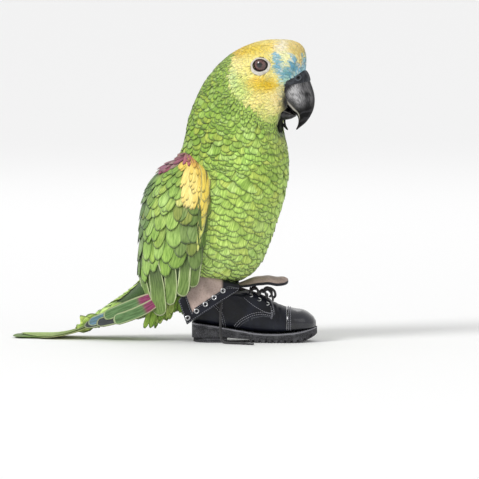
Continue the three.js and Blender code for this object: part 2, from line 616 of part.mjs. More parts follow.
// The stiff tip lies straight on from the lace's end.
const laceEnd = freeLine.getPoint(1);
const laceAhead = freeLine.getTangent(1).setZ(0).normalize();
const tipFrom = laceEnd.clone().addScaledVector(laceAhead, GAP);
const tipTo = laceEnd.clone().addScaledVector(laceAhead, GAP + LACE_TIP.length);
const laceTip = tube([tipFrom.toArray(), tipTo.toArray()], [LACE_TIP.radius, LACE_TIP.radius], 8, 2);

// ---------------------------------------------------------------- the model

// What stands in the body's way below is grown by the gap, and cut out of it.
const grownUpper = bootShell(UPPER, -GAP, () => 0);
const overBoot = plate(14, 6, (a, b, c) => tonguePoint(a, b, c < 0.5 ? -0.2 : 1.2))
  .add(flap(-1, GAP))
  .add(flap(1, GAP));
const bootTop = inBoot(overBoot.add(grownUpper));
const insideBoot = bootShell(UPPER, LEATHER + GAP, (x) => (x < MOUTH_END ? 30 : 0));
const bodyLowered = inBootFrame(wideBody.add(body.translate([0, 0, -0.5])));
const grownTail = plate(14, 6, (a, b, c) => tailPoint(a, b, c < 0.5 ? -0.1 : 1.1));
const grownPrimaries = plate(9, 3, (a, b, c) => primaryPoint(a, b, c < 0.5 ? -0.2 : 1.2));

add("head", head, FACE);
add("cere", cere, CERE);
add("bill_upper", maxilla, BILL);
add("bill_lower", billLower, BILL);
add("eye_right", eye(-1), EYEBALL);
add("eye_left", eye(1), EYEBALL);
add("neck", neck, GREEN);
add("trunk", trunk.subtract(bootTop), GREEN);
add("rump", rump.subtract(bootTop), GREEN);
add("tail", tail, TAIL_GREEN);

const rightWing = wing.subtract(grownPrimaries).subtract(grownTail);
const rightQuills = primaries.subtract(fullBody).subtract(grownTail);
for (const [turned, name] of [[(m) => m, "right"], [mirrored, "left"]]) {
  add(`wing_${name}`, turned(rightWing).subtract(bootTop), WING_GREEN);
  add(`primaries_${name}`, turned(rightQuills), QUILL);
}

for (const [side, name] of [[-1, "right"], [1, "left"]]) {
  const shownThigh = thigh(side).intersect(insideBoot).subtract(overBoot).subtract(bodyLowered);
  add(`thigh_${name}`, shownThigh, GREEN, boot);
  add(`foot_${name}`, foot(side).intersect(insideBoot).subtract(thigh(side, GAP)), SCALE, boot);
  TOES.forEach((toe, i) => {
    const nail = claw(side, toe).intersect(insideBoot).subtract(toes(side, GAP));
    add(`claw_${name}_${i + 1}`, nail, BILL, boot);
  });
}

add("boot_upper", quarters, LEATHER_BLACK, boot);
add("boot_toe_cap", toeCap, LEATHER_BLACK, boot);
add("boot_sole", sole.subtract(grownUpper), RUBBER, boot);
add("boot_heel", heel, RUBBER, boot);
add("boot_tongue", tongue, LINING, boot);
for (const [side, name] of [[-1, "near"], [1, "far"]]) {
  add(`boot_flap_${name}`, flap(side).subtract(grownUpper), LINING, boot);
  for (let i = 0; i < EYELET.count; i++) add(`eyelet_${name}_${i + 1}`, eyelet(side, i), NICKEL, boot);
}
LACE_BARS.forEach((bar, i) => add(`lace_bar_${i + 1}`, laceBar(bar), LACING, boot));
add("lace_loop", laceLoop, LACING, boot);
add("lace_free", laceFree, LACING, boot);
add("lace_tip", laceTip, BILL, boot);

model.add(boot);
export default model;
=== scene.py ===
"""The finish of a life-size amazon parrot standing in a child's boot, laid over the part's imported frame."""

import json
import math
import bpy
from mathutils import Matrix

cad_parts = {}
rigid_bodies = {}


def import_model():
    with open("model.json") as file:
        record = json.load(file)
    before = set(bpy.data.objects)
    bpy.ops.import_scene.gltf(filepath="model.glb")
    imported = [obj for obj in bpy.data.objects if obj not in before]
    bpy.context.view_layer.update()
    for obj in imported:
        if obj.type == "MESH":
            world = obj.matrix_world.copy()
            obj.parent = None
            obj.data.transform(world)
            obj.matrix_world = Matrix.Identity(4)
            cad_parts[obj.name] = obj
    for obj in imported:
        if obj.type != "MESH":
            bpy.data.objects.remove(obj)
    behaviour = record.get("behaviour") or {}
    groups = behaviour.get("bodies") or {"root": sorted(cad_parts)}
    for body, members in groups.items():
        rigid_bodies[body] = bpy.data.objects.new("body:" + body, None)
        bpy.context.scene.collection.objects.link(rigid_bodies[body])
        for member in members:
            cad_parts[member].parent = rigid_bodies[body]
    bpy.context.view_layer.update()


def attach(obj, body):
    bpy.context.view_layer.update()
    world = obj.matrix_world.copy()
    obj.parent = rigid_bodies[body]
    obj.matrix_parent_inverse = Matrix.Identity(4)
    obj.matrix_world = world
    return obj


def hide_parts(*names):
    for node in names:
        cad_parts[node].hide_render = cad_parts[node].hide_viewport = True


bl_info = {
    "name": "Amazon Parrot Finish",
    "version": (1, 0, 0),
    "blender": (4, 5, 0),
    "location": "3D View > Sidebar > Parrot",
    "description": "Feathers, bill, eyes, boot and lace of a life-size amazon parrot",
    "category": "Add Mesh",
}

import bmesh
import bpy
import numpy as np
from bpy.props import FloatProperty, FloatVectorProperty, PointerProperty
from bpy.types import Operator, Panel, PropertyGroup
from mathutils import Vector, kdtree
from mathutils.bvhtree import BVHTree

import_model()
MM = 0.001  # the shapes are worked out in millimetres
FULL_TURN = 2 * np.pi
SIDES = ((-1, "right"), (1, "left"))

# ------------------------------------------------------------------ driving sizes, the same as the CAD's

# The body's stations from the bill's root to the tail coverts: the back's outline x and z, the belly's outline
# x and z, half the width, how far the widest place lies to the back, how full the belly's side is, and the
# share of the width that the section loses beside the bill's root.
BODY = np.array([
    (78.5, 220.5, 57.5, 181.5, 9.4, 0, 0.7, 0.1), (78, 236.5, 56.6, 179, 12.4, 0.2, 0.7, 0.22),
    (73, 245, 56.2, 177, 17.2, 0.25, 0.65, 0.32), (60.5, 248.2, 56.2, 175, 21.2, 0.24, 0.65, 0.14),
    (38, 246.3, 57.4, 172, 24, 0.2, 0.7, 0), (14.5, 235.4, 59.6, 167, 26, 0.1, 0.8, 0),
    (-5.5, 214.7, 61.8, 159, 27.5, -0.05, 0.9, 0), (-19, 186, 63.5, 148, 31.5, 0, 1, 0),
    (-26.5, 156, 62.8, 134, 37, 0, 1, 0), (-47, 133, 60, 119, 41, 0, 1, 0), (-55, 108, 54.5, 102, 42, 0, 1, 0),
    (-57, 85, 47.5, 81, 40, 0, 1, 0), (-57, 69, 38, 61.5, 34.5, 0, 1, 0), (-57.5, 59, 22, 50, 25, 0.1, 1, 0),
    (-60, 52, -4, 50.5, 22.5, 0.2, 1, 0), (-66, 45.5, -27, 39, 22, 0.1, 1, 0),
    (-76, 37.5, -50, 25, 20.5, 0, 1, 0),
    (-91, 27, -75, 14, 18.5, 0, 1, 0), (-107, 14.4, -105.5, 10.6, 11.5, 0, 1, 0),
])
BODY_LAST = len(BODY) - 1

# The folded wing from the shoulder down: z, the cloak's hindmost x and half width, and the x of its front and
# hind edges. Its front edge is rounded.
WING = np.array([
    (152.5, -30, 31, -8, -24), (143, -44, 38, 5.5, -40), (130, -53.5, 44, 9, -51), (114, -59.5, 47, 8.8, -58.6),
    (96, -61.5, 48, 6, -61.4), (78, -62.5, 47, 2.6, -62.5), (60, -63, 43.5, -1.5, -62.9),
    (46, -63, 39, -6, -61.5),
    (34, -62, 35, -14, -58), (25, -60, 32.5, -22, -52.5), (18.8, -57, 31, -33, -42),
])
WING_NOSE, WING_NOSE_DEPTH = 7, 5.5

# The folded primaries, from under the wing's tip back: their middle line, width and lean in degrees.
PRIMARIES = np.array([
    (-41, -23.5, 36, 11, 82), (-52, -24, 30.5, 17, 80), (-66, -24.4, 24.6, 19, 76), (-80, -24, 19.5, 16, 70),
    (-96, -22, 15, 10, 60), (-106, -20, 12.6, 2.5, 50),
])

# The tail, bent back to the floor: x and z of its middle, half its width and its thickness. Its feathers'
# shafts spread over half a width of so much at its root and at its tip.
TAIL = np.array([
    (-62, 33, 15, 6), (-85, 19.5, 18.5, 5), (-108, 8.6, 21.5, 4), (-130, 2.6, 23, 3.2), (-152, 1.5, 22, 3),
    (-164, 1.5, 17.5, 3), (-171, 1.5, 5, 3),
])
TAIL_FAN = (13, 20)

# The bill's two halves, with the columns of the body's table, and the line (x, z) where the bare skin over its
# root ends.
BILL_UPPER = np.array([
    (66, 229, 46, 203, 11.5, 0, 1, 0), (78.4, 222.6, 55.5, 199, 12, 0, 1, 0),
    (82.4, 212.5, 60.7, 194.8, 10.8, 0, 1, 0), (85.2, 203.4, 65.8, 190.6, 9.2, 0, 1, 0),
    (85.4, 195.2, 70.3, 187.2, 7.2, 0, 1, 0), (83.2, 188, 72.3, 183.6, 5, 0, 1, 0),
    (78.5, 181, 72, 179, 3, 0, 1, 0), (71, 174.4, 70.2, 174.9, 0.7, 0, 1, 0),
])
BILL_LOWER = np.array([
    (45, 203, 46, 181, 9, 0, 1, 0), (57.5, 197, 57.5, 182, 9, 0, 1, 0), (64.5, 192.6, 65, 183, 7.6, 0, 1, 0),
    (70, 188.4, 69.8, 185.2, 4, 0, 1, 0),
])
CERE_EDGE = np.array([(66, 0, 211), (81.5, 0, 214.2)])
NOSTRIL = np.array([74.5, 7.6, 217.6])

# The eye, and on circles round its axis the pupil, the iris and the bare ring's half length and height.
EYE_AT = np.array([45.9, 18.1, 228.2])
EYE_RADIUS = 6.7
PUPIL, IRIS = 2.1, 5.1
LID_INNER, LID_OUTER = np.array((5.9, 4.6)), np.array((8.3, 7.3))
LID_SHIFT = np.array([0, 0, -1.1])  # the bare ring is widest below the eye

BOOT_TURN, BOOT_ASIDE = math.radians(15), -2.7
LACE_RADIUS = 1.0
LACE_TIP_LENGTH, LACE_TIP_GAP = 9.0, 0.3
BRAID_PITCH = 1.1
# The lace's loose end, in the boot's frame.
LACE_FREE = [
    (29.2, -9.8, 41), (28.8, -12.8, 41.8), (26.4, -16, 42), (22.2, -17.8, 41.6), (17.5, -18.1, 41),
    (12.5, -18.5, 39.8), (9, -18.9, 37.4), (7.4, -19.2, 33), (6.9, -19.7, 26), (6.9, -20.3, 18),
    (6.9, -21, 10.6), (7.2, -22, 5.2), (8.4, -24, 1.9), (10.8, -26.8, 1.02), (14, -29.4, 1.02),
    (18, -31.4, 1.02), (22.4, -33.2, 1.02), (26.4, -35.8, 1.02),
]

# The boot, in its own frame. The upper from the heel to the toe: x, half the width, its top and bottom, and how
# square its section's top is.
UPPER = np.array([
    (-15.8, 7, 52, 16.3, 0.14), (-13.5, 12, 52, 16, 0.12), (-6, 15, 51, 15, 0.12), (6, 15.8, 48.5, 13.2, 0.16),
    (18, 15.8, 45.5, 11, 0.34), (30, 16.6, 42, 8.8, 0.8), (42, 18.4, 37.5, 7.6, 0.95),
    (54, 19.6, 31, 7.6, 0.95), (65, 19.4, 27.4, 8.4, 0.85), (74, 16.8, 25.4, 9.8, 0.8),
    (80.5, 11.6, 21, 11.4, 0.9), (83.4, 6, 17, 12.6, 1),
])
LEATHER = 1.8
MOUTH_END = 23
TOE_CAP_X = 61

# The sole: x, half the width, its top and bottom. The heel: its back, front and half width, and the levels at
# which its outline steps in by so much.
SOLE = np.array([
    (-16.6, 8.5, 15.9, 3.9), (-14, 13.6, 15.6, 3.9), (-6, 16.4, 14.6, 3.9), (6, 17, 12.8, 3.9),
    (14, 16.6, 11.3, 3.9), (30, 17.6, 8.4, 2.6), (31.4, 17.8, 8.2, 0), (42, 19.8, 7.2, 0), (54, 21.2, 7.2, 0),
    (65, 21, 8, 0), (72, 19.2, 8.9, 0.7), (78, 15.8, 10.2, 2.4), (83, 10.6, 11.6, 4.8), (86, 4.6, 12.6, 7),
])
HEEL_BACK, HEEL_FRONT, HEEL_HALF = -15.4, 12.3, 15.8
HEEL_STEPS = ((0, 0.5), (0.15, 0.15), (0.5, 0), (1.5, 0), (1.7, 0.4), (1.9, 0.4), (2.1, 0), (3.2, 0),
              (3.5, 0.15), (3.6, 0.4))
WELT_PITCH, WELT_INSET = 2.0, 1.0

# The folded-down sides of the boot's shaft: ends of the fold, of the free edge and of its corner (x, z). The
# strip along the free edge holds the eyelets.
FOLD = np.array([(-13.7, 56.5), (22, 48.5)])
FREE_EDGE = np.array([(-27.5, 35), (-20.5, 15.8), (21.5, 43.6)])
FREE_CORNER = 0.3
FLAP_WALL, FLAP_STAND, FLAP_SPREAD = 15.9, 4.4, 0.1
FACING_WIDTH, FACING_THICK = 7.6, 0.8
EYELET_ENDS = np.array([(-19.9, 21.2), (8.9, 43.2)])
EYELET_COUNT, EYELET_RADIUS, EYELET_HOLE = 5, 2.2, 1.1

TONGUE_BACK, TONGUE_FRONT, TONGUE_HALF, TONGUE_THICK = 14, 62.5, 12.5, 1.8
# The laces that cross the throat: x, z, and how far aside their eyelets lie.
LACE_BARS = ((31.5, 43.6, 11), (38.3, 41.2, 12.4), (45, 38.5, 13.6))
LACE_LOOP = ((41.6, -1.5, 40.2), (43.4, -4.2, 43.2), (47.2, -5.8, 44.2), (51, -6.6, 41.6), (51.6, -6.2, 37.6),
             (49.2, -5.2, 35.6))

# Where the camera stands, how much it takes in, and its picture's middle from the origin, in metres.
VIEW_AZIMUTH, VIEW_ELEVATION = math.radians(15), math.radians(4)
VIEW_DISTANCE, VIEW_WIDTH = 6.5, 0.3928
VIEW_RIGHT, VIEW_UP = 0.0217, 0.0832
FILM_WIDTH = 36

CROWDING, CROWD_FROM = 1.7, 190  # how much closer the feathers below a height lie down the bird than round it
LIE_STEP, LIE_KINDS = 37.0, 40  # keeps neighbouring feathers' streaks apart
BAKED_PATCH = 0.0028


def rgb(code):
    """A colour written as six hexadecimal digits, as linear red, green and blue."""
    parts = [int(code[i:i + 2], 16) / 255 for i in (0, 2, 4)]
    return tuple(c / 12.92 if c <= 0.04045 else ((c + 0.055) / 1.055) ** 2.4 for c in parts)


# ------------------------------------------------------------------ settings

def length_setting(name, description, default, low, high):
    return FloatProperty(name=name, description=description, default=default, min=low, max=high, unit="LENGTH")


def colour_setting(name, description, code):
    return FloatVectorProperty(name=name, description=description, subtype="COLOR", default=rgb(code))


class PlumageSettings(PropertyGroup):
    coat: length_setting("Coat depth", "How far the skin lies inside the feathers' ends", 0.0018, 0.0005, 0.004)
    face_spacing: length_setting("Face feathers", "How far apart the smallest lie", 0.0013, 0.0008, 0.004)
    neck_spacing: length_setting("Neck feathers", "How far apart the hind neck's lie", 0.005, 0.003, 0.012)
    breast_spacing: length_setting("Breast feathers", "How far apart the breast's lie", 0.0062, 0.004, 0.014)
    nape: colour_setting("Nape", "Green of the hind neck", "82a534")
    breast: colour_setting("Breast", "Green of the breast", "b4d66c")
    belly: colour_setting("Belly", "Green of the belly", "b8da78")
    face: colour_setting("Face", "Yellow of the face", "fbee96")
    forehead: colour_setting("Forehead", "Blue of the forehead", "84bcd8")


class BootSettings(PropertyGroup):
    leather: colour_setting("Leather", "Colour of the boot's leather", "040509")
    lining: colour_setting("Lining", "Colour of the boot's lining", "c8b2a8")
    thread: colour_setting("Thread", "Colour of the seams' thread", "9a9aa2")
    stitch: length_setting("Stitch", "Distance from one stitch to the next", 0.00175, 0.001, 0.005)


class StageSettings(PropertyGroup):
    key: FloatProperty(name="Key light", description="Strength of the main light", default=1.6, min=0)
    fill: FloatProperty(name="Fill light", description="Power of the soft boxes", default=5, min=0,
                        unit="POWER")
    sky: FloatProperty(name="Sky", description="Strength of the light from all sides", default=0.68, min=0)
    floor: colour_setting("Floor", "The floor's colour", "f7f7f7")


# ------------------------------------------------------------------ curves and surfaces

def hermite(start, end, leave, arrive, t):
    """A cubic from start to end, with its slopes at both, read at t from 0 to 1."""
    bend = 3 * (end - start) - 2 * leave - arrive + t * (2 * (start - end) + leave + arrive)
    return start + t * (leave + t * bend)


def smooth(table, at):
    """Rows of a table read between its rows, on the curve through them. Beyond its ends it goes on straight."""
    table, asked = np.asarray(table, float), np.asarray(at, float)
    padded = np.concatenate([[2 * table[0] - table[1]], table, [2 * table[-1] - table[-2]]])
    at = np.clip(asked, 0, len(table) - 1)
    low = np.minimum(at.astype(int), len(table) - 2)
    t, past = at - low, asked - at
    if table.ndim > 1:
        t, past = t[..., None], past[..., None]
    before, start, end, after = (padded[low + k] for k in range(4))
    return hermite(start, end, (end - before) / 2, (after - start) / 2, t) + past * (end - start)


def route(points, count):
    """A centripetal Catmull-Rom curve through points, read at count places."""
    p = np.asarray(points, float)
    p = np.vstack([2 * p[0] - p[1], p, 2 * p[-1] - p[-2]])
    at = np.linspace(0, len(p) - 3, count)
    low = np.minimum(at.astype(int), len(p) - 4)
    a, b, c, d = (p[low + k] for k in range(4))
    ab, bc, cd = (np.maximum(np.linalg.norm(y - x, axis=1, keepdims=True) ** 0.5, 1e-4)
                  for x, y in ((a, b), (b, c), (c, d)))
    leave = ((b - a) / ab - (c - a) / (ab + bc) + (c - b) / bc) * bc
    arrive = ((c - b) / bc - (d - b) / (bc + cd) + (d - c) / cd) * bc
    return hermite(b, c, leave, arrive, (at - low)[:, None])


def step(value, low, high):
    """A smooth rise from 0 at low to 1 at high."""
    t = np.clip((np.asarray(value, float) - low) / (high - low), 0, 1)
    return t * t * (3 - 2 * t)


def hump(value, middle, reach):
    """1 at the middle, falling to both sides."""
    return np.exp(-((value - middle) / reach) ** 2)


def unit(vectors):
    return vectors / np.maximum(np.linalg.norm(vectors, axis=-1, keepdims=True), 1e-9)


def circle(count):
    return np.linspace(0, FULL_TURN, count, endpoint=False)


def grid(a, b):
    return np.meshgrid(a, b, indexing="ij")


def folded_angle(turn):
    """The size of an angle, from 0 to pi."""
    return np.abs(np.angle(np.exp(1j * turn)))


def line_lengths(points):
    """How far each point lies along its line."""
    return np.append(0, np.cumsum(np.linalg.norm(np.diff(points, axis=0), axis=1)))


def path_length(points):
    return float(np.linalg.norm(np.diff(points, axis=0), axis=1).sum())


def evenly(points, pitch):
    """Points spaced evenly along a line, with the line's direction at each."""
    lengths = line_lengths(points)
    at = np.linspace(0, lengths[-1], max(2, int(lengths[-1] / pitch) + 1))
    even = np.stack([np.interp(at, lengths, column) for column in points.T], 1)
    return even, unit(np.gradient(even, axis=0))


def section_surface(table, along, turn, grow=0.0):
    """A surface through a table's sections: a station, and an angle from the back (0) to the belly (pi)."""
    s = smooth(table, along)
    back, belly = s[..., 0:2], s[..., 2:4]
    width, widest, jowl, pinch = np.moveaxis(s[..., 4:], -1, 0)
    half = (back - belly) / 2
    deep = np.linalg.norm(half, axis=-1)
    sine, cosine = np.sin(turn), np.cos(turn)
    out = cosine + widest * sine ** 2
    narrow = 1 - pinch * hump(out, -0.1, 0.42)
    side = narrow * (width + grow) * np.sign(sine) * np.abs(sine) ** np.where(cosine < 0, jowl, 1)
    middle = (back + belly) / 2 + half * (out * (deep + grow) / deep)[..., None]
    return np.stack([middle[..., 0], side, middle[..., 1]], -1)


def body_surface(along, turn, grow=0.0):
    return section_surface(BODY, along, turn, grow)


def wing_surface(down, back, side, inset=0.0):
    """A folded wing's outer surface: from the shoulder down (0 to 1), and from its front edge back."""
    z, hindmost, wide, front, hind = np.moveaxis(smooth(WING, np.asarray(down) * (len(WING) - 1)), -1, 0)
    deep = -hindmost
    first, last = (np.arcsin(np.clip(-edge / deep, -1, 1)) for edge in (front, hind))
    angle = first + (last - first) * back
    nose = np.clip((angle - first) * wide / WING_NOSE, 0, 1)
    inset = inset + (1 - np.sqrt(1 - (1 - nose) ** 2)) * WING_NOSE_DEPTH
    x, y = -(deep - inset) * np.sin(angle), side * (wide - inset) * np.cos(angle)
    return np.stack([x, y, z + 0 * angle], -1)


def primary_surface(along, across, side):
    """The flat of the folded primaries: from the wing's tip back (0 to 1), and across it (0 to 1)."""
    at = np.asarray(along) * (len(PRIMARIES) - 1)
    row = smooth(PRIMARIES, at)
    lean = np.radians(row[..., 4:])
    ahead = unit(smooth(PRIMARIES[:, :3], at + 0.05) - smooth(PRIMARIES[:, :3], at - 0.05))
    flat = unit(np.cross((0, 0, 1), ahead))
    blade = flat * np.cos(lean) - np.cross(ahead, flat) * np.sin(lean)
    return (row[..., :3] + blade * ((across - 0.5) * row[..., 3])[..., None]) * (1, -side, 1)


def tail_surface(along, aside, under=False):
    """The tail's upper or lower side: from its root back (0 to 1), and aside, in shares of the fan's width."""
    x, middle, half_width, thick = np.moveaxis(smooth(TAIL, np.asarray(along) * (len(TAIL) - 1)), -1, 0)
    y = aside * (TAIL_FAN[0] + (TAIL_FAN[1] - TAIL_FAN[0]) * along)
    share = np.clip(np.abs(y / np.maximum(half_width, 12)), 0, 1)
    edge = 0.5 * thick * np.maximum(0.5, np.sqrt(1 - share ** 4))
    crown = 0.9 * (1 - share ** 2) * (1 - 0.7 * along)
    return np.stack([x, y, middle - edge if under else middle + edge + crown], -1)


def slopes(surface, a, b, reach=2e-3):
    """Points of a surface, and how they move with each of its two numbers."""
    point = surface(a, b)
    return point, (surface(a + reach, b) - point) / reach, (surface(a, b + reach) - point) / reach


def outward_sign(surface, a, b, way=None):
    """+1 or -1, so that the product of a surface's slopes points along way, or away from the bird's middle."""
    point, pa, pb = slopes(surface, np.array([a]), np.array([b]))
    return np.sign((np.cross(pa, pb) * (point * (1, 1, 0) if way is None else way)).sum())


def laid(surface, outward, a, b, lean, length, steps):
    """Feather shafts that follow a surface: their points, directions and outward normals, from root to tip."""
    rows, a, b = [], a.copy(), b.copy()
    for _ in range(steps + 1):
        point, pa, pb = slopes(surface, a, b)
        normal, flow = outward * unit(np.cross(pa, pb)), unit(pa)
        ahead = np.cos(lean)[:, None] * flow + np.sin(lean)[:, None] * np.cross(normal, flow)
        rows.append((point, ahead, normal))
        stride = ahead * (length / steps)[:, None]
        aa, ab, bb, ga, gb = ((u * v).sum(-1) for u, v in (
            (pa, pa), (pa, pb), (pb, pb), (pa, stride), (pb, stride)))
        det = aa * bb - ab * ab + 1e-12
        a += (ga * bb - gb * ab) / det
        b += (gb * aa - ga * ab) / det
    return tuple(np.stack(x, 1) for x in zip(*rows))


def hanging(roots, ways, outwards, length, sag, steps=8):
    """Feather shafts that hang free from roots along their ways, and curve with sag towards straight down."""
    share = np.linspace(0, 1, steps + 1)[None, :, None]
    ahead = unit(unit(ways)[:, None] + share * sag * np.array([0, 0, -1.0]))
    strides = np.concatenate([0 * ahead[:, :1], ahead[:, 1:]], 1) * (length / steps)[:, None, None]
    outward = unit(outwards)[:, None] + 0 * ahead
    normal = unit(outward - ahead * (outward * ahead).sum(-1, keepdims=True))
    return roots[:, None] + np.cumsum(strides, 1), ahead, normal


def scattered(spacing, keep, seed, tries=270000, tries_a_root=14, rounds=7):
    """Roots spread evenly over the body, as far apart as spacing(points) says, where keep(points) is true:
    their stations and angles."""
    random = np.random.default_rng(seed)
    first, last = 0.04, BODY_LAST - 0.15
    a, b = random.uniform(first, last, tries), random.uniform(-np.pi, np.pi, tries)
    point, pa, pb = slopes(body_surface, a, b)
    weight = np.linalg.norm(np.cross(pa, pb), axis=-1) / spacing(point) ** 2 * keep(point)
    number = int(weight.mean() * ((last - first) * FULL_TURN) * 1.12)
    chosen = random.choice(tries, min(number * tries_a_root, tries), p=weight / weight.sum())
    a, b, point = a[chosen], b[chosen], point[chosen]
    point = point - np.maximum(CROWD_FROM - point[:, 2:], 0) * (0, 0, CROWDING - 1)
    seeds = point[random.choice(len(a), number, replace=False)]
    for _ in range(rounds):
        owner = nearest(seeds, point)
        share = np.maximum(np.bincount(owner, minlength=number), 1)[:, None]
        seeds = np.stack([np.bincount(owner, column, number) for column in point.T], 1) / share
    best = nearest(point, seeds)
    return a[best], b[best]


def nearest(cloud, asked):
    """For each asked point, which point of the cloud is nearest."""
    tree = kdtree.KDTree(len(cloud))
    for i, p in enumerate(cloud.tolist()):
        tree.insert(p, i)
    tree.balance()
    return np.array([tree.find(p)[1] for p in asked.tolist()])


def from_boot(points, aside=BOOT_ASIDE):
    """Points of the boot's own frame, in the model's frame."""
    x, y, z = np.moveaxis(np.asarray(points, float), -1, 0)
    c, s = math.cos(BOOT_TURN), math.sin(BOOT_TURN)
    return np.stack([x * c - y * s, x * s + y * c + aside, z], -1)


def boot_places(points, aheads, normals):
    """Points and their directions and normals in the boot's frame, in the model's frame."""
    return from_boot(points), from_boot(aheads, 0), from_boot(normals, 0)


# ------------------------------------------------------------------ meshes

def flat(values):
    return np.asarray(values, np.float32).ravel()


def shown(name, data):
    thing = bpy.data.objects.new(name, data)
    bpy.context.scene.collection.objects.link(thing)
    return thing


def points_mesh(name, points):
    mesh = bpy.data.meshes.new(name)
    mesh.vertices.add(len(points))
    mesh.vertices.foreach_set("co", flat(np.asarray(points) * MM))
    return mesh


def mesh_from(name, points, *tables):
    """A smooth mesh object from points in millimetres and tables of faces with as many corners each."""
    mesh = points_mesh(name, points)
    corners = np.concatenate([np.ravel(t) for t in tables]).astype(np.int32)
    sizes = np.concatenate([np.full(len(t), len(t[0])) for t in tables])
    mesh.loops.add(len(corners))
    mesh.loops.foreach_set("vertex_index", corners)
    mesh.polygons.add(len(sizes))
    mesh.polygons.foreach_set("loop_start", np.append(0, np.cumsum(sizes)[:-1]).astype(np.int32))
    mesh.polygons.foreach_set("use_smooth", np.ones(len(sizes), bool))
    mesh.update(calc_edges=True)
    return shown(name, mesh)


def quads(index):
    """Four-cornered faces of a grid of point numbers."""
    return np.stack([index[:-1, :-1], index[:-1, 1:], index[1:, 1:], index[1:, :-1]], -1).reshape(-1, 4)


def grid_faces(rows, columns, around=False):
    """The faces of a grid of points, closed round its columns if around is true."""
    index = np.arange(rows * columns).reshape(rows, columns)
    return quads(np.hstack([index, index[:, :1]]) if around else index)


def two_sides(rows, columns):
    """The faces of two grids that share their outer points, and the points that the second repeats."""
    top = np.arange(rows * columns).reshape(rows, columns)
    under = top.copy()
    under[1:-1, 1:-1] = top.size + np.arange((rows - 2) * (columns - 2)).reshape(rows - 2, columns - 2)
    return np.concatenate([quads(top), quads(under)[:, ::-1]]), top[1:-1, 1:-1].ravel()


def loft(name, rows):
    """A closed mesh from rings of points, with a point at each end."""
    n, sides = rows.shape[:2]
    ends, k = np.array([rows[0].mean(0), rows[-1].mean(0)]), np.arange(sides)
    after, count, last = (k + 1) % sides, n * sides, (n - 1) * sides
    first_end = np.stack([0 * k + count, after, k], 1)
    last_end = np.stack([0 * k + count + 1, last + k, last + after], 1)
    points = np.vstack([rows.reshape(-1, 3), ends])
    return mesh_from(name, points, grid_faces(n, sides, True), first_end, last_end)


def closed_sheet(name, outer, inner, side=1):
    """A closed mesh between two grids of points. side is -1 where it would be inside out."""
    return loft(name, np.concatenate([outer, inner[:, ::-1]], 1)[:, ::side])


def ring_mesh(name, points, side=1):
    """A mesh that closes both ways round a grid of points."""
    n, m = points.shape[:2]
    return mesh_from(name, points.reshape(-1, 3), (grid_faces(n + 1, m, True) % (n * m))[:, ::side])


def tube_mesh(name, points, radii, sides):
    """A closed round tube along points, with a UV map of the lengths along it and round it, in millimetres."""
    points = np.asarray(points, float)
    radii = np.broadcast_to(np.asarray(radii, float), len(points))
    ahead = unit(np.gradient(points, axis=0))
    across = [np.cross(ahead[0], (0, 0, 1) if abs(ahead[0][2]) < 0.9 else (1, 0, 0))]
    for way in ahead:
        across.append(unit(across[-1] - way * (across[-1] @ way)))
    across, angle = np.array(across[1:]), circle(sides)
    ring = across[:, None] * np.cos(angle)[:, None] + np.cross(ahead, across)[:, None] * np.sin(angle)[:, None]
    piece = loft(name, points[:, None] + ring * radii[:, None, None])
    lengths, corner = line_lengths(points), corners_of(piece)
    along = np.append(np.repeat(lengths, sides), [0, lengths[-1]])[corner]
    turn = np.append(np.tile(angle, len(points)), [0, 0])[corner]
    sides_of_rings = turn[:4 * sides * (len(points) - 1)].reshape(-1, 4)
    wraps = np.ptp(sides_of_rings, 1) > np.pi
    sides_of_rings[wraps[:, None] & (sides_of_rings < np.pi)] += FULL_TURN
    set_maps(piece, Lie=np.stack([along, turn * radii.max()], 1))
    return piece


def corners_of(piece):
    """The point at each corner of a mesh's faces."""
    corner = np.empty(len(piece.data.loops), np.int32)
    piece.data.loops.foreach_get("vertex_index", corner)
    return corner


def set_maps(piece, **maps):
    """UV maps, from two numbers for each point or for each corner of the faces."""
    for name, values in maps.items():
        if len(values) == len(piece.data.vertices):
            values = values[corners_of(piece)]
        piece.data.uv_layers.new(name=name).data.foreach_set("uv", flat(values))


def set_values(piece, **named):
    """Attributes of a mesh's points. One number stands for all, and a loft's two end points stay at 0."""
    for name, values in named.items():
        kind, key, size = ("FLOAT_COLOR", "color", 4) if name == "tint" else ("FLOAT", "value", 1)
        values, size = flat(values), size * len(piece.data.vertices)
        missing = size - len(values)
        values = np.full(size, values) if len(values) == 1 else np.append(values, flat([0] * missing))
        piece.data.attributes.new(name, kind, "POINT").data.foreach_set(key, values)


def places_of(piece):
    """A mesh's points, in millimetres."""
    places = np.empty(len(piece.data.vertices) * 3, np.float32)
    piece.data.vertices.foreach_get("co", places)
    return places.reshape(-1, 3).astype(float) / MM


def move_to(piece, places):
    piece.data.vertices.foreach_set("co", flat(places * MM))
    piece.data.update()


def surface_tree(piece):
    """A mesh in millimetres, for rays to meet."""
    return BVHTree.FromPolygons(places_of(piece).tolist(), [p.vertices[:] for p in piece.data.polygons])


def seen_from_side(tree, x, z, side):
    """Where a ray from the side meets a surface: the point and the normal."""
    return tree.ray_cast(Vector((x, side * 60, z)), Vector((0, -side, 0)))[:2]


def applied(piece):
    """Turns a piece's modifiers into its mesh."""
    piece.data = bpy.data.meshes.new_from_object(piece.evaluated_get(bpy.context.evaluated_depsgraph_get()))
    piece.modifiers.clear()
    return piece


def join_onto(piece, *others):
    with bpy.context.temp_override(active_object=piece, selected_editable_objects=[piece, *others]):
        bpy.ops.object.join()


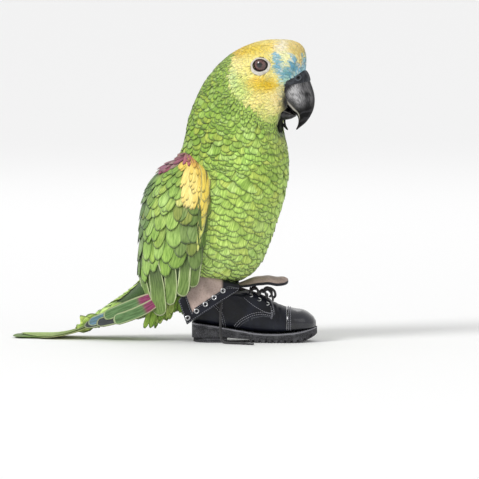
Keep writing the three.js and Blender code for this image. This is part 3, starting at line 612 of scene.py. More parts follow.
def cut_flat(piece, place, ahead):
    """Cuts a mesh by a plane, keeps what lies ahead of it, and closes the cut."""
    work = bmesh.new()
    work.from_mesh(piece.data)
    cut = bmesh.ops.bisect_plane(work, geom=work.verts[:] + work.edges[:] + work.faces[:],
                                 plane_co=Vector(place) * MM, plane_no=-Vector(ahead), clear_outer=True)
    border = [e for e in cut["geom_cut"] if isinstance(e, bmesh.types.BMEdge)]
    bmesh.ops.holes_fill(work, edges=border, sides=0)
    bmesh.ops.triangulate(work, faces=[f for f in work.faces if len(f.verts) > 4])
    work.to_mesh(piece.data)
    work.free()


def finished(piece, material, slot, *nodes):
    """Gives a piece its material and its place in the frame. It stands for the named CAD nodes."""
    piece.data.materials.clear()
    piece.data.materials.append(material)
    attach(piece, "root")
    if nodes:
        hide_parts(*nodes)


# ------------------------------------------------------------------ feathers

class Vane:
    """The outline and cross section that every feather of one kind has, as a closed thin mesh."""

    def __init__(self, rows, columns, tip, root, widest=0.55):
        across = np.linspace(-1, 1, columns + 1)
        level = np.linspace(0, 1, rows + 1)
        along = level[:, None] * (1 - tip * (1 - (1 - across ** 2) ** 0.5))
        swell = np.sin(np.clip(along / widest, 0, 1) * np.pi / 2)
        self.along, self.across = along.ravel(), np.tile(across, rows + 1)
        self.width, self.left = (root + (1 - root) * swell).ravel(), np.repeat(1 - level, columns + 1)
        self.faces, self.inner = two_sides(rows + 1, columns + 1)
        self.size = along.size + self.inner.size


def feathers(vane, shaft, length, width, colour, rise, thick=0.25, bend=0.012, dark=0.0, roll=0.0,
             shade=0.5, patch=None, change=(0.1, 0.75)):
    """Many feathers on their shafts. rise holds each one's height over the surface at its root and at its tip,
    colour its root's and tip's colours, change where one turns into the other, shade how dark its root is
    painted, as shade under the feathers over it, dark the strength of its dark edge, and patch its place for
    baking."""
    n, steps = len(shaft[0]), shaft[0].shape[1] - 1
    column = lambda value: np.broadcast_to(np.asarray(value, float), n)[:, None]
    at = vane.along * steps
    low = np.minimum(at.astype(int), steps - 1)
    part = (at - low)[None, :, None]
    place, ahead, normal = (x[:, low] * (1 - part) + x[:, low + 1] * part for x in shaft)
    half = column(width) / 2 * vane.width
    aside = vane.across * half
    root_rise, tip_rise = map(column, rise)
    height = root_rise + (tip_rise - root_rise) * vane.along ** 0.8 - bend * aside ** 2
    height = height + column(roll) * aside * vane.along
    top = place + unit(np.cross(ahead, normal)) * aside[..., None] + unit(normal) * height[..., None]
    blend = step(vane.along, *change)[:, None]
    root_colour, tip_colour = (c[:, None] for c in colour)
    # Painted shade: each root's colour is darkened by shade where the feathers over it cover it.
    tint = root_colour * shade * (1 - blend) + tip_colour * blend
    own = LIE_STEP * (np.arange(n) % LIE_KINDS)[:, None]
    named = {
        "tint": np.concatenate([tint, column(dark)[..., None] + 0 * tint[..., :1]], -1),
        "rim": np.minimum(vane.left * column(length), (1 - np.abs(vane.across)) * half * 1.2),
        "lie": np.stack([aside, vane.along * column(length) + own], -1),
        "baked": patch[:, None] + BAKED_PATCH * np.stack([vane.across / 2, vane.along - 0.5], -1),
    }
    pack = {key: np.concatenate([values, values[:, vane.inner]], 1) for key, values in named.items()}
    pack["points"] = np.concatenate([top, top[:, vane.inner] - normal[:, vane.inner] * thick], 1)
    pack["faces"] = vane.faces + (np.arange(n) * vane.size)[:, None, None]
    return pack


def feather_piece(name, *packs):
    """One mesh of several packs of feathers, with their colours, edges and maps."""
    starts = np.cumsum([0] + [pack["rim"].size for pack in packs])
    faces = [pack["faces"].reshape(-1, 4) + start for pack, start in zip(packs, starts)]
    points, tint, rim, lie, baked = (
        np.concatenate([pack[key].reshape(-1, pack[key][0, 0].size) for pack in packs])
        for key in ("points", "tint", "rim", "lie", "baked"))
    piece = mesh_from(name, points, np.concatenate(faces))
    set_maps(piece, Lie=lie, OFBake=baked)
    set_values(piece, tint=tint, rim=rim)
    return piece


def surface_patch(a, b, side=0):
    """The place of a feather's patch on its piece's map, of which each side has half where side is given."""
    u, v = np.clip(a, 0.02, 0.98), np.clip(b, 0.02, 0.98)
    return np.stack([u, (v + (side > 0)) / 2 if side else v], 1)


def join_sheet(piece, sheet, code):
    """Adds a plain sheet to a piece of feathers, with the maps and colours that their material reads."""
    x, _, z = places_of(sheet).T
    set_maps(sheet, Lie=np.stack([x + 400, z], 1), OFBake=np.stack([x / 400 + 0.5, z / 400 + 0.1], 1))
    set_values(sheet, tint=np.tile((*rgb(code), 0), (len(x), 1)), rim=9.0)
    join_onto(piece, sheet)


# ------------------------------------------------------------------ markings

def marking_plane(points):
    """Lengths forward and up on a plane turned a little from the bird's length, the same for both its sides.
    The markings are drawn on it."""
    x, y, z = points[..., 0], np.abs(points[..., 1]), points[..., 2]
    c, s = math.cos(VIEW_AZIMUTH), math.sin(VIEW_AZIMUTH)
    return x * c - y * s, z * math.cos(VIEW_ELEVATION) - (x * s + y * c) * math.sin(VIEW_ELEVATION)


# The edge between the yellow face and the green neck, from the top of the head down: forward, up.
FACE_EDGE = np.array([
    (15, 246), (16.9, 237.8), (15.6, 228.8), (12.3, 217.3), (12.3, 208.3), (17.2, 200.9), (26.2, 192.7),
    (35.3, 186.1), (43.5, 179.6), (53.3, 176.3), (75, 174),
])
# The upper edge of the blue forehead, with its three points (forward, up), and its hind edge (up, forward).
BLUE_TOP = np.array([
    (48.5, 233), (51.7, 237), (54.5, 233.5), (59.9, 223.5), (62, 231), (64, 236.8), (66.5, 233),
    (70.5, 224.2), (73, 231), (74.6, 235), (78, 228),
])
BLUE_BACK = np.array([(207, 58), (214, 55), (222, 51.5), (232, 48.6)])
# Soft spots of colour: forward, up, half length, half height, strength and colour.
FACE_SPOTS = [
    (28, 239, 20, 6.5, 1.0, "e8cc3e"), (19, 236, 7, 6, 0.7, "dcb826"), (50, 241, 8, 6, 0.8, "f8dc6a"),  # crown
    (18, 226, 6, 7, 0.5, "faf0b0"),  # behind the eye
    (22, 205, 9, 13, 1.0, "cfe486"), (16, 214, 4, 10, 0.8, "bfdc98"),  # lime ear coverts
    (41, 209.5, 12.5, 6, 1.0, "f0d232"), (46.5, 208, 6, 5.5, 0.9, "e6c010"),  # cheek
    (35, 213, 8, 2.4, 0.5, "f2c63c"),
    (50, 193, 9, 10, 0.8, "faf0a8"), (42, 196, 7, 6, 0.5, "f6e88c"),  # pale chin
    (52, 198, 4, 5, 0.4, "f6d9a8"),
    (50, 181, 12, 5.5, 0.9, "c6de74"), (38, 188, 8, 5, 0.6, "d2e07c"),  # lime under the chin
    (56, 203, 3, 8, 0.6, "f2f0c4"),  # pale beside the bill
    (57.5, 240, 7.5, 7.5, 1.0, "f1ead2"),  # cream forehead
    (59, 229, 3.2, 7, 1.0, "f2f4c0"), (68.5, 240, 6.5, 6, 0.9, "e4cc80"), (71, 229.5, 2.6, 5, 0.9, "f2dea0"),
    (59, 212.5, 4, 3.5, 0.9, "c4ecd4"),  # turquoise lore
    (63, 219, 6, 5, 0.5, "3f98b4"), (65.5, 224, 4, 5, 0.6, "3f86a2"), (52.6, 225, 3.4, 6, 0.5, "58a4c0"),
]
LATE_SPOTS = 7  # the last of them lie over the blue
# Dark spots at the throat: the bare gape skin beside the bill, then below the lower bill painted shade where
# the neck meets it.
THROAT_SPOTS = [
    (59.3, 195, 3.9, 10, 1.0, "131315"), (56, 180, 3.2, 8, 1.0, "0e1008"), (57, 170, 2.4, 6, 0.7, "2a3414"),
]
BODY_SPOTS = [
    (28, 150, 11, 8, 0.8, "b8e472"), (60, 162, 14, 5, 0.35, "c3bf6c"), (8, 196, 14, 10, 0.35, "6f9636"),
    (2, 168, 12, 14, 0.3, "86a53a"), (40, 128, 16, 22, 0.35, "a9c652"),
]
# The wing's yellow patch: its hind edge, lower edge and top, and its spots.
PATCH_HIND, PATCH_LOW, PATCH_TOP = -27, 109.5, 151
PATCH_SPOTS = [
    (-20, 126, 8, 12, 0.7, "f0e49a"), (-22, 113, 7, 4, 0.5, "efe8a8"), (-14, 149, 10, 5.5, 0.85, "c4913f"),
    (-7, 140, 5, 9, 0.5, "d2a544"), (-18, 150, 5, 3, 0.6, "b0654a"),
]


def tinted(colour, paint, share):
    """A colour turned towards a paint by a share of 0 to 1. Both may be codes."""
    colour, paint = (np.array(rgb(c) if isinstance(c, str) else c) for c in (colour, paint))
    return colour + (paint - colour) * np.asarray(share)[..., None]


def spotted(colour, spots, forward, up):
    for f, u, long, high, strength, paint in spots:
        away = ((forward - f) / long) ** 2 + ((up - u) / high) ** 2
        colour = tinted(colour, paint, strength * np.exp(-away ** 1.5))
    return colour


def past_face_edge(forward, up):
    """How far forward of the yellow face's edge a place lies."""
    return forward - np.interp(-up, -FACE_EDGE[:, 1], FACE_EDGE[:, 0])


def face_share(forward, up):
    """1 on the yellow face, 0 on the green body."""
    return step(past_face_edge(forward, up), -1.2, 1.2)


def body_colour(points, random=None):
    """The body's colour at each point, and how dark the feathers' edges are there."""
    plumage = bpy.context.scene.parrot_plumage
    forward, up = marking_plane(points)
    if random is not None:
        forward = forward + random.normal(0, 0.7, forward.shape)
        up = up + random.normal(0, 0.7, up.shape)
    x, z = points[..., 0], points[..., 2]
    green = tinted(plumage.nape, plumage.breast, step(up, 170, 90))
    green = tinted(green, plumage.breast, step(x, -10, 40) * 0.6)
    green = spotted(tinted(green, plumage.belly, step(up, 100, 55)), BODY_SPOTS, forward, up)
    yellow = spotted(plumage.face, FACE_SPOTS, forward, up)
    top, back = np.interp(forward, *BLUE_TOP.T), np.interp(up, *BLUE_BACK.T)
    blue = step(top - up, -1.0, 1.0) * step(forward - back, -1.2, 1.2) * step(up, 206, 212) * 0.95
    yellow = tinted(yellow, plumage.forehead, blue)
    if random is not None:
        yellow = tinted(yellow, "eef4f2", (random.uniform(0, 1, forward.shape) < 0.3) * blue * 0.75)
    yellow = spotted(yellow, FACE_SPOTS[-LATE_SPOTS:], forward, up)
    face = face_share(forward, up)
    colour = spotted(tinted(green, yellow, face), THROAT_SPOTS, forward, up)
    return colour, (1 - face) * (0.55 + 0.4 * step(x, 25, -10) * step(z, 110, 150))


def wing_colour(points):
    """A wing's colour at each point, and how dark its feathers' edges are there."""
    forward, up = marking_plane(points)
    colour = tinted("7fa446", "93b25a", hump(forward, -38, 12) * hump(up, 100, 22))
    colour = tinted(colour, "546c31", step(forward, -33, -28) * step(up, 52, 66) * step(up, 116, 108) * 0.85)
    colour = tinted(colour, "6d9344", step(up, 58, 40) * 0.8)
    # Painted shade: a darker strip along the wing's hind edge, where it meets the back.
    hind = np.interp(up, [40, 85, 115, 140, 150], [-62, -56, -51, -45, -30])
    colour = tinted(colour, "4c6b3b", step(hind - forward, -2, 3) * 0.9)
    patch = step(forward, PATCH_HIND - 1, PATCH_HIND + 1) * step(up, PATCH_LOW - 1, PATCH_LOW + 1)
    colour = tinted(colour, spotted("dcc45a", PATCH_SPOTS, forward, up), patch)
    ridge = np.interp(forward, [-46, -40, -30, -22, -16], [132, 137, 143, 145.5, 149])
    rose = step(up - ridge, -1, 1.5) * step(forward, -47, -42) * step(forward, -15, -21)
    streaks = 0.5 + 0.5 * np.sin(forward * 1.9 + up * 2.3)
    colour = tinted(colour, tinted("8c4a76", "962a62", streaks), rose * 0.9)
    return colour, 0.8 * (1 - patch) * (1 - rose) + 0.06 * patch


def many_toned(colours, random, strength=1.0):
    """Colours of single feathers about their places' colours: some yellower, some paler, some deeper."""
    n = len(colours)
    varied = colours * (1 + strength * random.normal(0, 0.07, (n, 1))) * (
        1 + strength * random.normal(0, 0.03, (n, 3)))
    kind, share = random.uniform(0, 1, n), strength * random.uniform(0.15, 0.5, n)
    for low, high, paint in ((0.0, 0.2, "cfc95a"), (0.2, 0.42, "cdeaa2"), (0.42, 0.56, "547f2a")):
        varied = tinted(varied, paint, share * ((kind >= low) & (kind < high)))
    return varied


# ------------------------------------------------------------------ materials

class Value:
    """A number, colour or shape that a node gives, for sums with others."""

    def __init__(self, socket):
        self.socket = socket

    def math(self, operation, *others, **settings):
        inputs = dict(enumerate((self, *others)))
        return put(self.socket.id_data, "ShaderNodeMath", inputs, operation=operation, **settings)

    def __add__(self, other):
        return self.math("ADD", other)

    def __sub__(self, other):
        return self.math("SUBTRACT", other)

    def __mul__(self, other):
        return self.math("MULTIPLY", other)

    def sine(self):
        return self.math("SINE")

    def ramp(self, low, high):
        """A smooth rise from 0 at low to 1 at high."""
        inputs = {"Value": self, "From Min": low, "From Max": high}
        return put(self.socket.id_data, "ShaderNodeMapRange", inputs, interpolation_type="SMOOTHSTEP")

    def part(self, index):
        """One of a vector's three numbers."""
        return put(self.socket.id_data, "ShaderNodeSeparateXYZ", {0: self}, index)


def feed(socket, value):
    """Gives an input a value, or the node that makes it. A colour may be a code."""
    if isinstance(value, Value):
        socket.id_data.links.new(value.socket, socket)
    elif socket.type == "RGBA":
        socket.default_value = (*(rgb(value) if isinstance(value, str) else value), 1)
    else:
        socket.default_value = value


def put(tree, kind, inputs=(), output=0, **settings):
    """A new node's output. Each input is a value, or what another node gives."""
    node = tree.nodes.new(kind)
    for key, value in settings.items():
        setattr(node, key, value)
    for key, value in dict(inputs).items():
        feed(node.inputs[key], value)
    return Value(node.outputs[output])


class Finish:
    """A material with one Principled shader, and the nodes that feed it."""

    def __init__(self, name, **shader_values):
        self.material = bpy.data.materials.new(name)
        self.material.use_nodes = True
        self.tree = self.material.node_tree
        self.inputs = self.tree.nodes["Principled BSDF"].inputs
        for key, value in shader_values.items():
            feed(self.inputs[key.replace("_", " ")], value)

    def put(self, kind, inputs=(), output=0, **settings):
        return put(self.tree, kind, inputs, output, **settings)

    def place(self):
        return self.put("ShaderNodeTexCoord", output="Object")

    def lie(self):
        return self.put("ShaderNodeUVMap", uv_map="Lie")

    def read(self, name, output="Fac"):
        return self.put("ShaderNodeAttribute", output=output, attribute_name=name)

    def noise(self, scale, detail=2.0, at=None, **inputs):
        inputs = {"Vector": at or self.place(), "Scale": scale, "Detail": detail, **inputs}
        return self.put("ShaderNodeTexNoise", inputs)

    def cells(self, scale):
        return self.put("ShaderNodeTexVoronoi", {"Vector": self.place(), "Scale": scale})

    def mix(self, share, one, two, blend="MIX"):
        return self.put("ShaderNodeMix", {0: share, 6: one, 7: two}, 2, data_type="RGBA", blend_type=blend)

    def done(self, colour, height=None, strength=1.0, depth=0.0, roughness=None):
        """Feeds the shader its colour, its relief, which is so many metres deep, and its roughness."""
        feed(self.inputs["Base Color"], colour)
        if height:
            bump = {"Height": height, "Strength": strength, "Distance": depth}
            feed(self.inputs["Normal"], self.put("ShaderNodeBump", bump))
        if roughness:
            feed(self.inputs["Roughness"], roughness)
        return self.material


def feather_material(name, pitch, shaft, glow=0.12, edge_width=0.8, heart=(0.84, 2.8),
                     streaks=(0.75, (0.62, 0.7, 0.5), (1.3, 1.24, 1.36))):
    """Vanes with slanting barbs, a shaft, streaks along them, and the edge that the feathers' colours ask for.
    heart holds how dark a feather is painted at its rim, as shade, and how far in its painted highlight
    reaches.
    streaks holds how many lie beside one another in a millimetre, and their dark and bright tones."""
    finish = Finish(name, Roughness=0.62, Sheen_Weight=glow, Sheen_Roughness=0.45)
    lie, rim, strength = finish.lie(), finish.read("rim"), finish.read("tint", "Alpha")
    aside = lie.part(0).math("ABSOLUTE")
    barbs = ((lie.part(1) - aside * 0.9) * (FULL_TURN / pitch)).sine()
    long = finish.put("ShaderNodeMapping", {"Vector": lie, "Scale": (1, 0.14, 1)})
    streak = finish.noise(streaks[0], 4, long) + barbs * 0.03
    tone = finish.mix(streak.ramp(0.34, 0.66), streaks[1], streaks[2])
    colour = finish.mix(1.0, finish.read("tint", "Color"), tone, "MULTIPLY")
    # Painted shade darkens each feather towards its rim, and a painted highlight brightens its middle.
    inside = finish.mix(rim.ramp(0.1, heart[1]), [heart[0]] * 3, (1.12, 1.09, 1.0))
    stem = aside.ramp(shaft, shaft * 0.4)
    colour = finish.mix(stem * 0.4, finish.mix(1.0, colour, inside, "MULTIPLY"), (0.62, 0.66, 0.5), "MULTIPLY")
    ragged = rim + (streak - 0.5) * (edge_width * 1.6)
    pale = (ragged.ramp(1.8, 1.1) * (strength * -0.85)).math("MAXIMUM", 0.0)
    colour = finish.mix(pale, colour, "cbd8a0")
    narrow = strength.math("LESS_THAN", 0.0) * (-edge_width * 0.5)
    border = finish.put("ShaderNodeMapRange", {
        "Value": ragged, "From Min": narrow + edge_width, "From Max": edge_width * 0.12})
    colour = finish.mix(border * strength.math("MAXIMUM", strength * -0.8), colour, (0.012, 0.022, 0.008))
    return finish.done(colour, barbs + stem * 2.5, 0.35, 0.00012)


def skin_material():
    """What shows between the feathers: the same markings, painted darker as shade, with fine down."""
    finish = Finish("down", Roughness=0.85, Sheen_Weight=0.3)
    down = finish.noise(1400, 4)
    tone = finish.mix(down.ramp(0.35, 0.65), [0.55] * 3, [1.0] * 3)
    return finish.done(finish.mix(1.0, finish.read("tint", "Color"), tone, "MULTIPLY"), down, 0.6, 0.0004)


def horn_material():
    """Smooth charcoal horn with growth lines round it, and painted highlights: grey above, pale on the cutting
    edge.
    """
    finish = Finish("bill_horn", Roughness=0.4, Specular_IOR_Level=0.16)
    growth = finish.read("growth")
    at = finish.put("ShaderNodeCombineXYZ", {0: finish.read("turn") * 9, 1: growth * 0.9})
    lines, coarse, fine = finish.noise(2.2, 4, at), finish.noise(160, 5), finish.noise(900, 4)
    waves = (growth * 5.5 + coarse * 5).sine()
    # The grey painted highlight, broken by the horn's growth lines.
    grey = finish.read("bloom").math("POWER", 1.35) * coarse.ramp(0.2, 0.55)
    grey = grey.math("MULTIPLY", lines.ramp(0.36, 0.66) + 0.5, use_clamp=True)
    colour = finish.mix(grey, "050507", "b4b3b4")
    colour = finish.mix(lines.ramp(0.55, 0.75) * 0.16, colour, "5a595e")
    colour = finish.mix(waves.ramp(0.2, 1) * 0.12, colour, "77757a")
    # The pale cutting edge is a painted highlight.
    colour = finish.mix(finish.read("edge"), colour, "c9c5bd")
    return finish.done(colour, waves * 0.5 + fine, 0.25, 0.00015, fine * 0.16 + 0.3)


def cere_material():
    """Dark bare skin with fine pores."""
    finish = Finish("cere_skin", Roughness=0.55, Specular_IOR_Level=0.3)
    ring = finish.read("ring")
    colour = finish.mix(finish.noise(260, 4).ramp(0.3, 0.7), "14161a", "3c4046")
    colour = finish.mix(ring.ramp(0.4, 1), colour, "5c6268")
    # The nostril's hollow is painted near black, as shade in the recess.
    return finish.done(finish.mix(ring.ramp(-0.4, -1), colour, "08080a"), finish.cells(1600), 0.3, 0.00015)


def eye_material():
    """A dark pupil, a maroon iris with fine rays and a darker rim, under a clear coat."""
    finish = Finish("eyeball", Roughness=0.4, Specular_IOR_Level=0.1, Coat_Weight=1.0, Coat_Roughness=0.015,
                    Coat_IOR=1.65)
    lie = finish.lie()
    radius = lie.part(0)
    rays = (lie.part(1) * 46).sine() * 0.2 + finish.noise(900, 3)
    iris = finish.mix(rays.ramp(0.2, 0.9), "2e1615", "7c544e")
    iris = finish.mix(radius.ramp(PUPIL + 0.9, PUPIL + 0.1) * 0.6, iris, "2a1512")
    iris = finish.mix(radius.ramp(IRIS - 0.9, IRIS), iris, "1a0e0c")
    return finish.done(finish.mix(radius.ramp(PUPIL + 0.12, PUPIL - 0.12), iris, "020202"))


def lid_material():
    """Bare pale skin round the eye, wrinkled in rings with painted shade in the folds, and a dark edge against
    the eye.
    """
    finish = Finish("eye_ring", Roughness=0.55)
    ring, cloud = finish.read("ring"), finish.noise(800, 4)
    folds = (ring * 38 + cloud * 13).sine()
    colour = finish.mix(cloud.ramp(0.35, 0.7), "eceadf", "cfc6b8")
    # Painted shade: the skin is darker in the troughs of its folds.
    colour = finish.mix(folds.ramp(0.2, -0.9) * 0.6, colour, "968c80")
    return finish.done(finish.mix(ring.ramp(0.3, 0.17), colour, "120c0a"), folds, 0.5, 0.00025)


def braid_material():
    """A round black braid: two sets of strands that cross."""
    finish = Finish("lace_braid", Roughness=0.7, Sheen_Weight=0.2)
    lie = finish.lie()
    along, around = lie.part(0) * (FULL_TURN / BRAID_PITCH), lie.part(1) * (4 / LACE_RADIUS)
    strands = (along + around).sine().math("MAXIMUM", (along - around).sine())
    colour = finish.mix(strands.ramp(-0.2, 1), (0.006, 0.006, 0.007), (0.035, 0.033, 0.035))
    return finish.done(colour, strands, 0.6, 0.0002)


def tip_material():
    """Black plastic with fine scuffs."""
    finish = Finish("tip_plastic", Roughness=0.25)
    scuffs = finish.noise(900, 4)
    return finish.done(finish.mix(scuffs.ramp(0.45, 0.75), "1a1a1c", "3c3c40"), scuffs, 0.2, 0.0001)


def leather_material(name, grain, gloss, wear, polish=0.3):
    """Grained leather with creases, worn paler where it stands out, and its lining."""
    boot = bpy.context.scene.parrot_boot
    finish = Finish(name, Coat_Weight=gloss, Coat_Roughness=0.1, Specular_IOR_Level=0.15)
    fine, cloud = finish.noise(grain * 0.7, 5), finish.noise(55, 5, Distortion=0.6)
    lined = finish.read("lined")
    dark = finish.mix(cloud.ramp(0.3, 0.75), boot.leather, wear)
    dark = finish.mix(fine.ramp(0.5, 0.75) * 0.35, dark, wear)
    inner = finish.mix(cloud.ramp(0.3, 0.7), np.array(boot.lining) * 0.58, boot.lining)
    inner = finish.mix(fine.ramp(0.45, 0.7) * 0.4, inner, "7d6a62")
    colour = finish.mix(finish.read("edge") * fine.ramp(0.2, 0.6), finish.mix(lined, dark, inner), "6f7178")
    rough = lined * 0.35 + fine * 0.25 + polish
    return finish.done(colour, finish.cells(grain) * 0.6 + fine, 0.4, 0.0003, rough)


def black_leather():
    return bpy.data.materials.get("black_leather") or leather_material("black_leather", 1100, 0.3, "181b27")


def thread_material(name):
    """Twisted thread."""
    finish = Finish(name, Roughness=0.75)
    twist = finish.put("ShaderNodeTexWave", {"Vector": finish.place(), "Scale": 900, "Distortion": 3}, 1)
    return finish.done(finish.mix(twist, "3b3b40", bpy.context.scene.parrot_boot.thread))


def rubber_material():
    """Dark rubber, speckled grey and scuffed along its edges."""
    finish = Finish("sole_rubber", Roughness=0.7)
    speck, cloud = finish.noise(1500, 2), finish.noise(120, 5)
    colour = finish.mix(speck.ramp(0.45, 0.62), "151517", "47474c")
    colour = finish.mix(cloud.ramp(0.5, 0.75) * 0.5, colour, "6a6a6e")
    colour = finish.mix(finish.read("welt") * cloud.ramp(0.1, 0.5), colour, "a0a0a6")
    return finish.done(colour, speck, 0.4, 0.0003)


def metal_material():
    """Bright metal, tarnished in patches."""
    finish = Finish("eyelet_metal", Metallic=1.0)
    cloud = finish.noise(1200, 4)
    return finish.done(finish.mix(cloud.ramp(0.35, 0.7), "d8d9db", "8f8f92"), roughness=cloud * 0.25 + 0.16)


# ------------------------------------------------------------------ camera and loose lace

def aimed(name, data, place, way):
    """A camera or a lamp that looks along way."""
    thing = shown(name, data)
    thing.location = place
    thing.rotation_mode = "QUATERNION"
    thing.rotation_quaternion = way.to_track_quat("-Z", "Y")
    return thing


def studio_camera():
    level = math.cos(VIEW_ELEVATION)
    back = Vector((math.sin(VIEW_AZIMUTH) * level, -math.cos(VIEW_AZIMUTH) * level, math.sin(VIEW_ELEVATION)))
    right = Vector((math.cos(VIEW_AZIMUTH), math.sin(VIEW_AZIMUTH), 0))
    up = right.cross(-back).normalized()
    data = bpy.data.cameras.new("studio_camera")
    data.sensor_width, data.lens = FILM_WIDTH, FILM_WIDTH * VIEW_DISTANCE / VIEW_WIDTH
    data.clip_start, data.clip_end = 0.1, 60
    place = right * VIEW_RIGHT + up * VIEW_UP + back * VIEW_DISTANCE
    bpy.context.scene.camera = aimed("studio_camera", data, place, -back)


def loose_lace():
    """The lace's free end, from the throat of the boot down to the floor, and its stiff tip."""
    centre = from_boot(route(LACE_FREE, 180))
    lace = tube_mesh("lace_free_end", centre, LACE_RADIUS, 14)
    finished(lace, braid_material(), "lace", "lace_free")
    ahead = unit((centre[-1] - centre[-2]) * (1, 1, 0))
    along = np.array([0, 0.15, 0.5, 0.8, LACE_TIP_LENGTH - 1, LACE_TIP_LENGTH - 0.3, LACE_TIP_LENGTH])
    tip = tube_mesh("lace_end_tip", centre[-1] + ahead * (LACE_TIP_GAP + along)[:, None],
                    [0.7, 0.84, 0.85, 0.85, 0.82, 0.65, 0.35], 16)
    finished(tip, tip_material(), "lace_tip", "lace_tip")


# ------------------------------------------------------------------ the bird

def coat_depth(along):
    """How deep the coat is at a station of the body, in millimetres: thinnest on the face."""
    return bpy.context.scene.parrot_plumage.coat / MM * (0.45 + 0.55 * step(along, 3, 7.5))


def make_skin():
    """One skin under the whole coat: the body and the fleshy parts of both wings."""
    along, turn = grid(np.linspace(0.02, BODY_LAST - 0.02, 150), circle(96))
    body = loft("skin", body_surface(along, turn, -coat_depth(along)))
    down, back = grid(np.linspace(0.03, 0.68, 40), np.linspace(0.04, 0.96, 30))
    join_onto(body, *(closed_sheet(f"pad_{name}", wing_surface(down, back, side, 2.2),
                                   wing_surface(down, back, side, 11.0), side) for side, name in SIDES))
    remesh = body.modifiers.new("remesh", "REMESH")
    remesh.mode, remesh.voxel_size = "VOXEL", 0.0014
    relax = body.modifiers.new("relax", "SMOOTH")
    relax.factor, relax.iterations = 0.5, 3
    applied(body).data.shade_smooth()
    places = places_of(body)
    colour = tinted(body_colour(places)[0], "4e7a2c", wing_share(places))
    # Painted shade: the skin takes the markings darker where feathers cover it, much darker on the body than on
    # the face.
    depth = 0.5 + 0.48 * face_share(*marking_plane(places))
    set_values(body, tint=np.column_stack([colour * depth[:, None], np.ones(len(colour))]))
    finished(body, skin_material(), "plumage_green", "head", "neck", "trunk", "rump", "thigh_right",
             "thigh_left")


def wing_at(z, *columns):
    """Columns of the wing's table at a height."""
    return [np.interp(-z, -WING[:, 0], WING[:, k]) for k in columns]


def wing_down(z):
    """How far down a wing (0 to 1) a height lies. It goes straight on past the shoulder."""
    inside = np.interp(-z, -WING[:, 0], np.arange(len(WING)))
    return (inside - np.maximum(0, z - WING[0, 0]) / (WING[0, 0] - WING[1, 0])) / (len(WING) - 1)


def wing_share(points):
    """1 on a wing's own flesh, 0 on the body."""
    x, y, z = points.T
    hindmost, wide, front = wing_at(z, 1, 2, 3)
    out = (x / hindmost) ** 2 + (y / wide) ** 2
    return step(out, 0.72, 0.86) * step(front - x, -3, 2) * step(z, 16, 20) * (z < 154)


def bare(points):
    """True where a folded wing covers the body, inside the boot, and round the eyes."""
    x, y, z = points.T
    front, hind = wing_at(z, 3, 4)
    inside = (x < front - 8 - 14 * step(z, 60, 48)) & (z < 145) & (z > 30) & (np.abs(y) > 8)
    under_wing = inside & ((x > hind + 2) | (z < 120))
    in_boot = (z < 52) & (x > -22) & (np.abs(y) < 17)
    eye = np.linalg.norm((points - (EYE_AT + LID_SHIFT)) * (1, 0, 1.08), axis=1)
    return under_wing | in_boot | ((eye < 7.3) & (np.abs(y) > 10))


def feather_spacing(points):
    """How far apart the feathers are at each point: closest on the face, widest on the breast."""
    plumage = bpy.context.scene.parrot_plumage
    face, neck, breast = (v / MM for v in (plumage.face_spacing, plumage.neck_spacing, plumage.breast_spacing))
    x, _, z = points.T
    eye = np.linalg.norm((points - EYE_AT) * (1, 0, 1), axis=1)
    behind = np.maximum(-past_face_edge(*marking_plane(points)), 0)
    grow = step(np.where(z < 182, np.maximum(behind, 182 - z), behind), 0, 26)
    small = face + 0.7 * step(eye, 10, 34)
    size = small + (neck - small) * grow
    size = size + (breast - neck) * step(z, 165, 120) * grow
    return size * (1 + 0.25 * step(-x, 58, 95))


def eye_lean(points, a, b):
    """How far the feathers round an eye turn, so that they part in front of it and close behind it."""
    away = (points - EYE_AT) * (1, 0, 1)
    gap = np.linalg.norm(away, axis=1)
    _, pa, pb = slopes(body_surface, a, b)
    flow = unit(pa)
    off = (away * np.cross(-unit(np.cross(pa, pb)), flow)).sum(1)
    before = -(away * flow).sum(1) / np.maximum(gap, 1e-6)
    near = step(gap, 17, 8) * (np.abs(points[:, 1]) > 8)
    side = np.where(np.abs(off) < 0.3, 1.0, np.sign(off))
    return side * near * np.radians(62) * step(before, -0.35, 0.7)


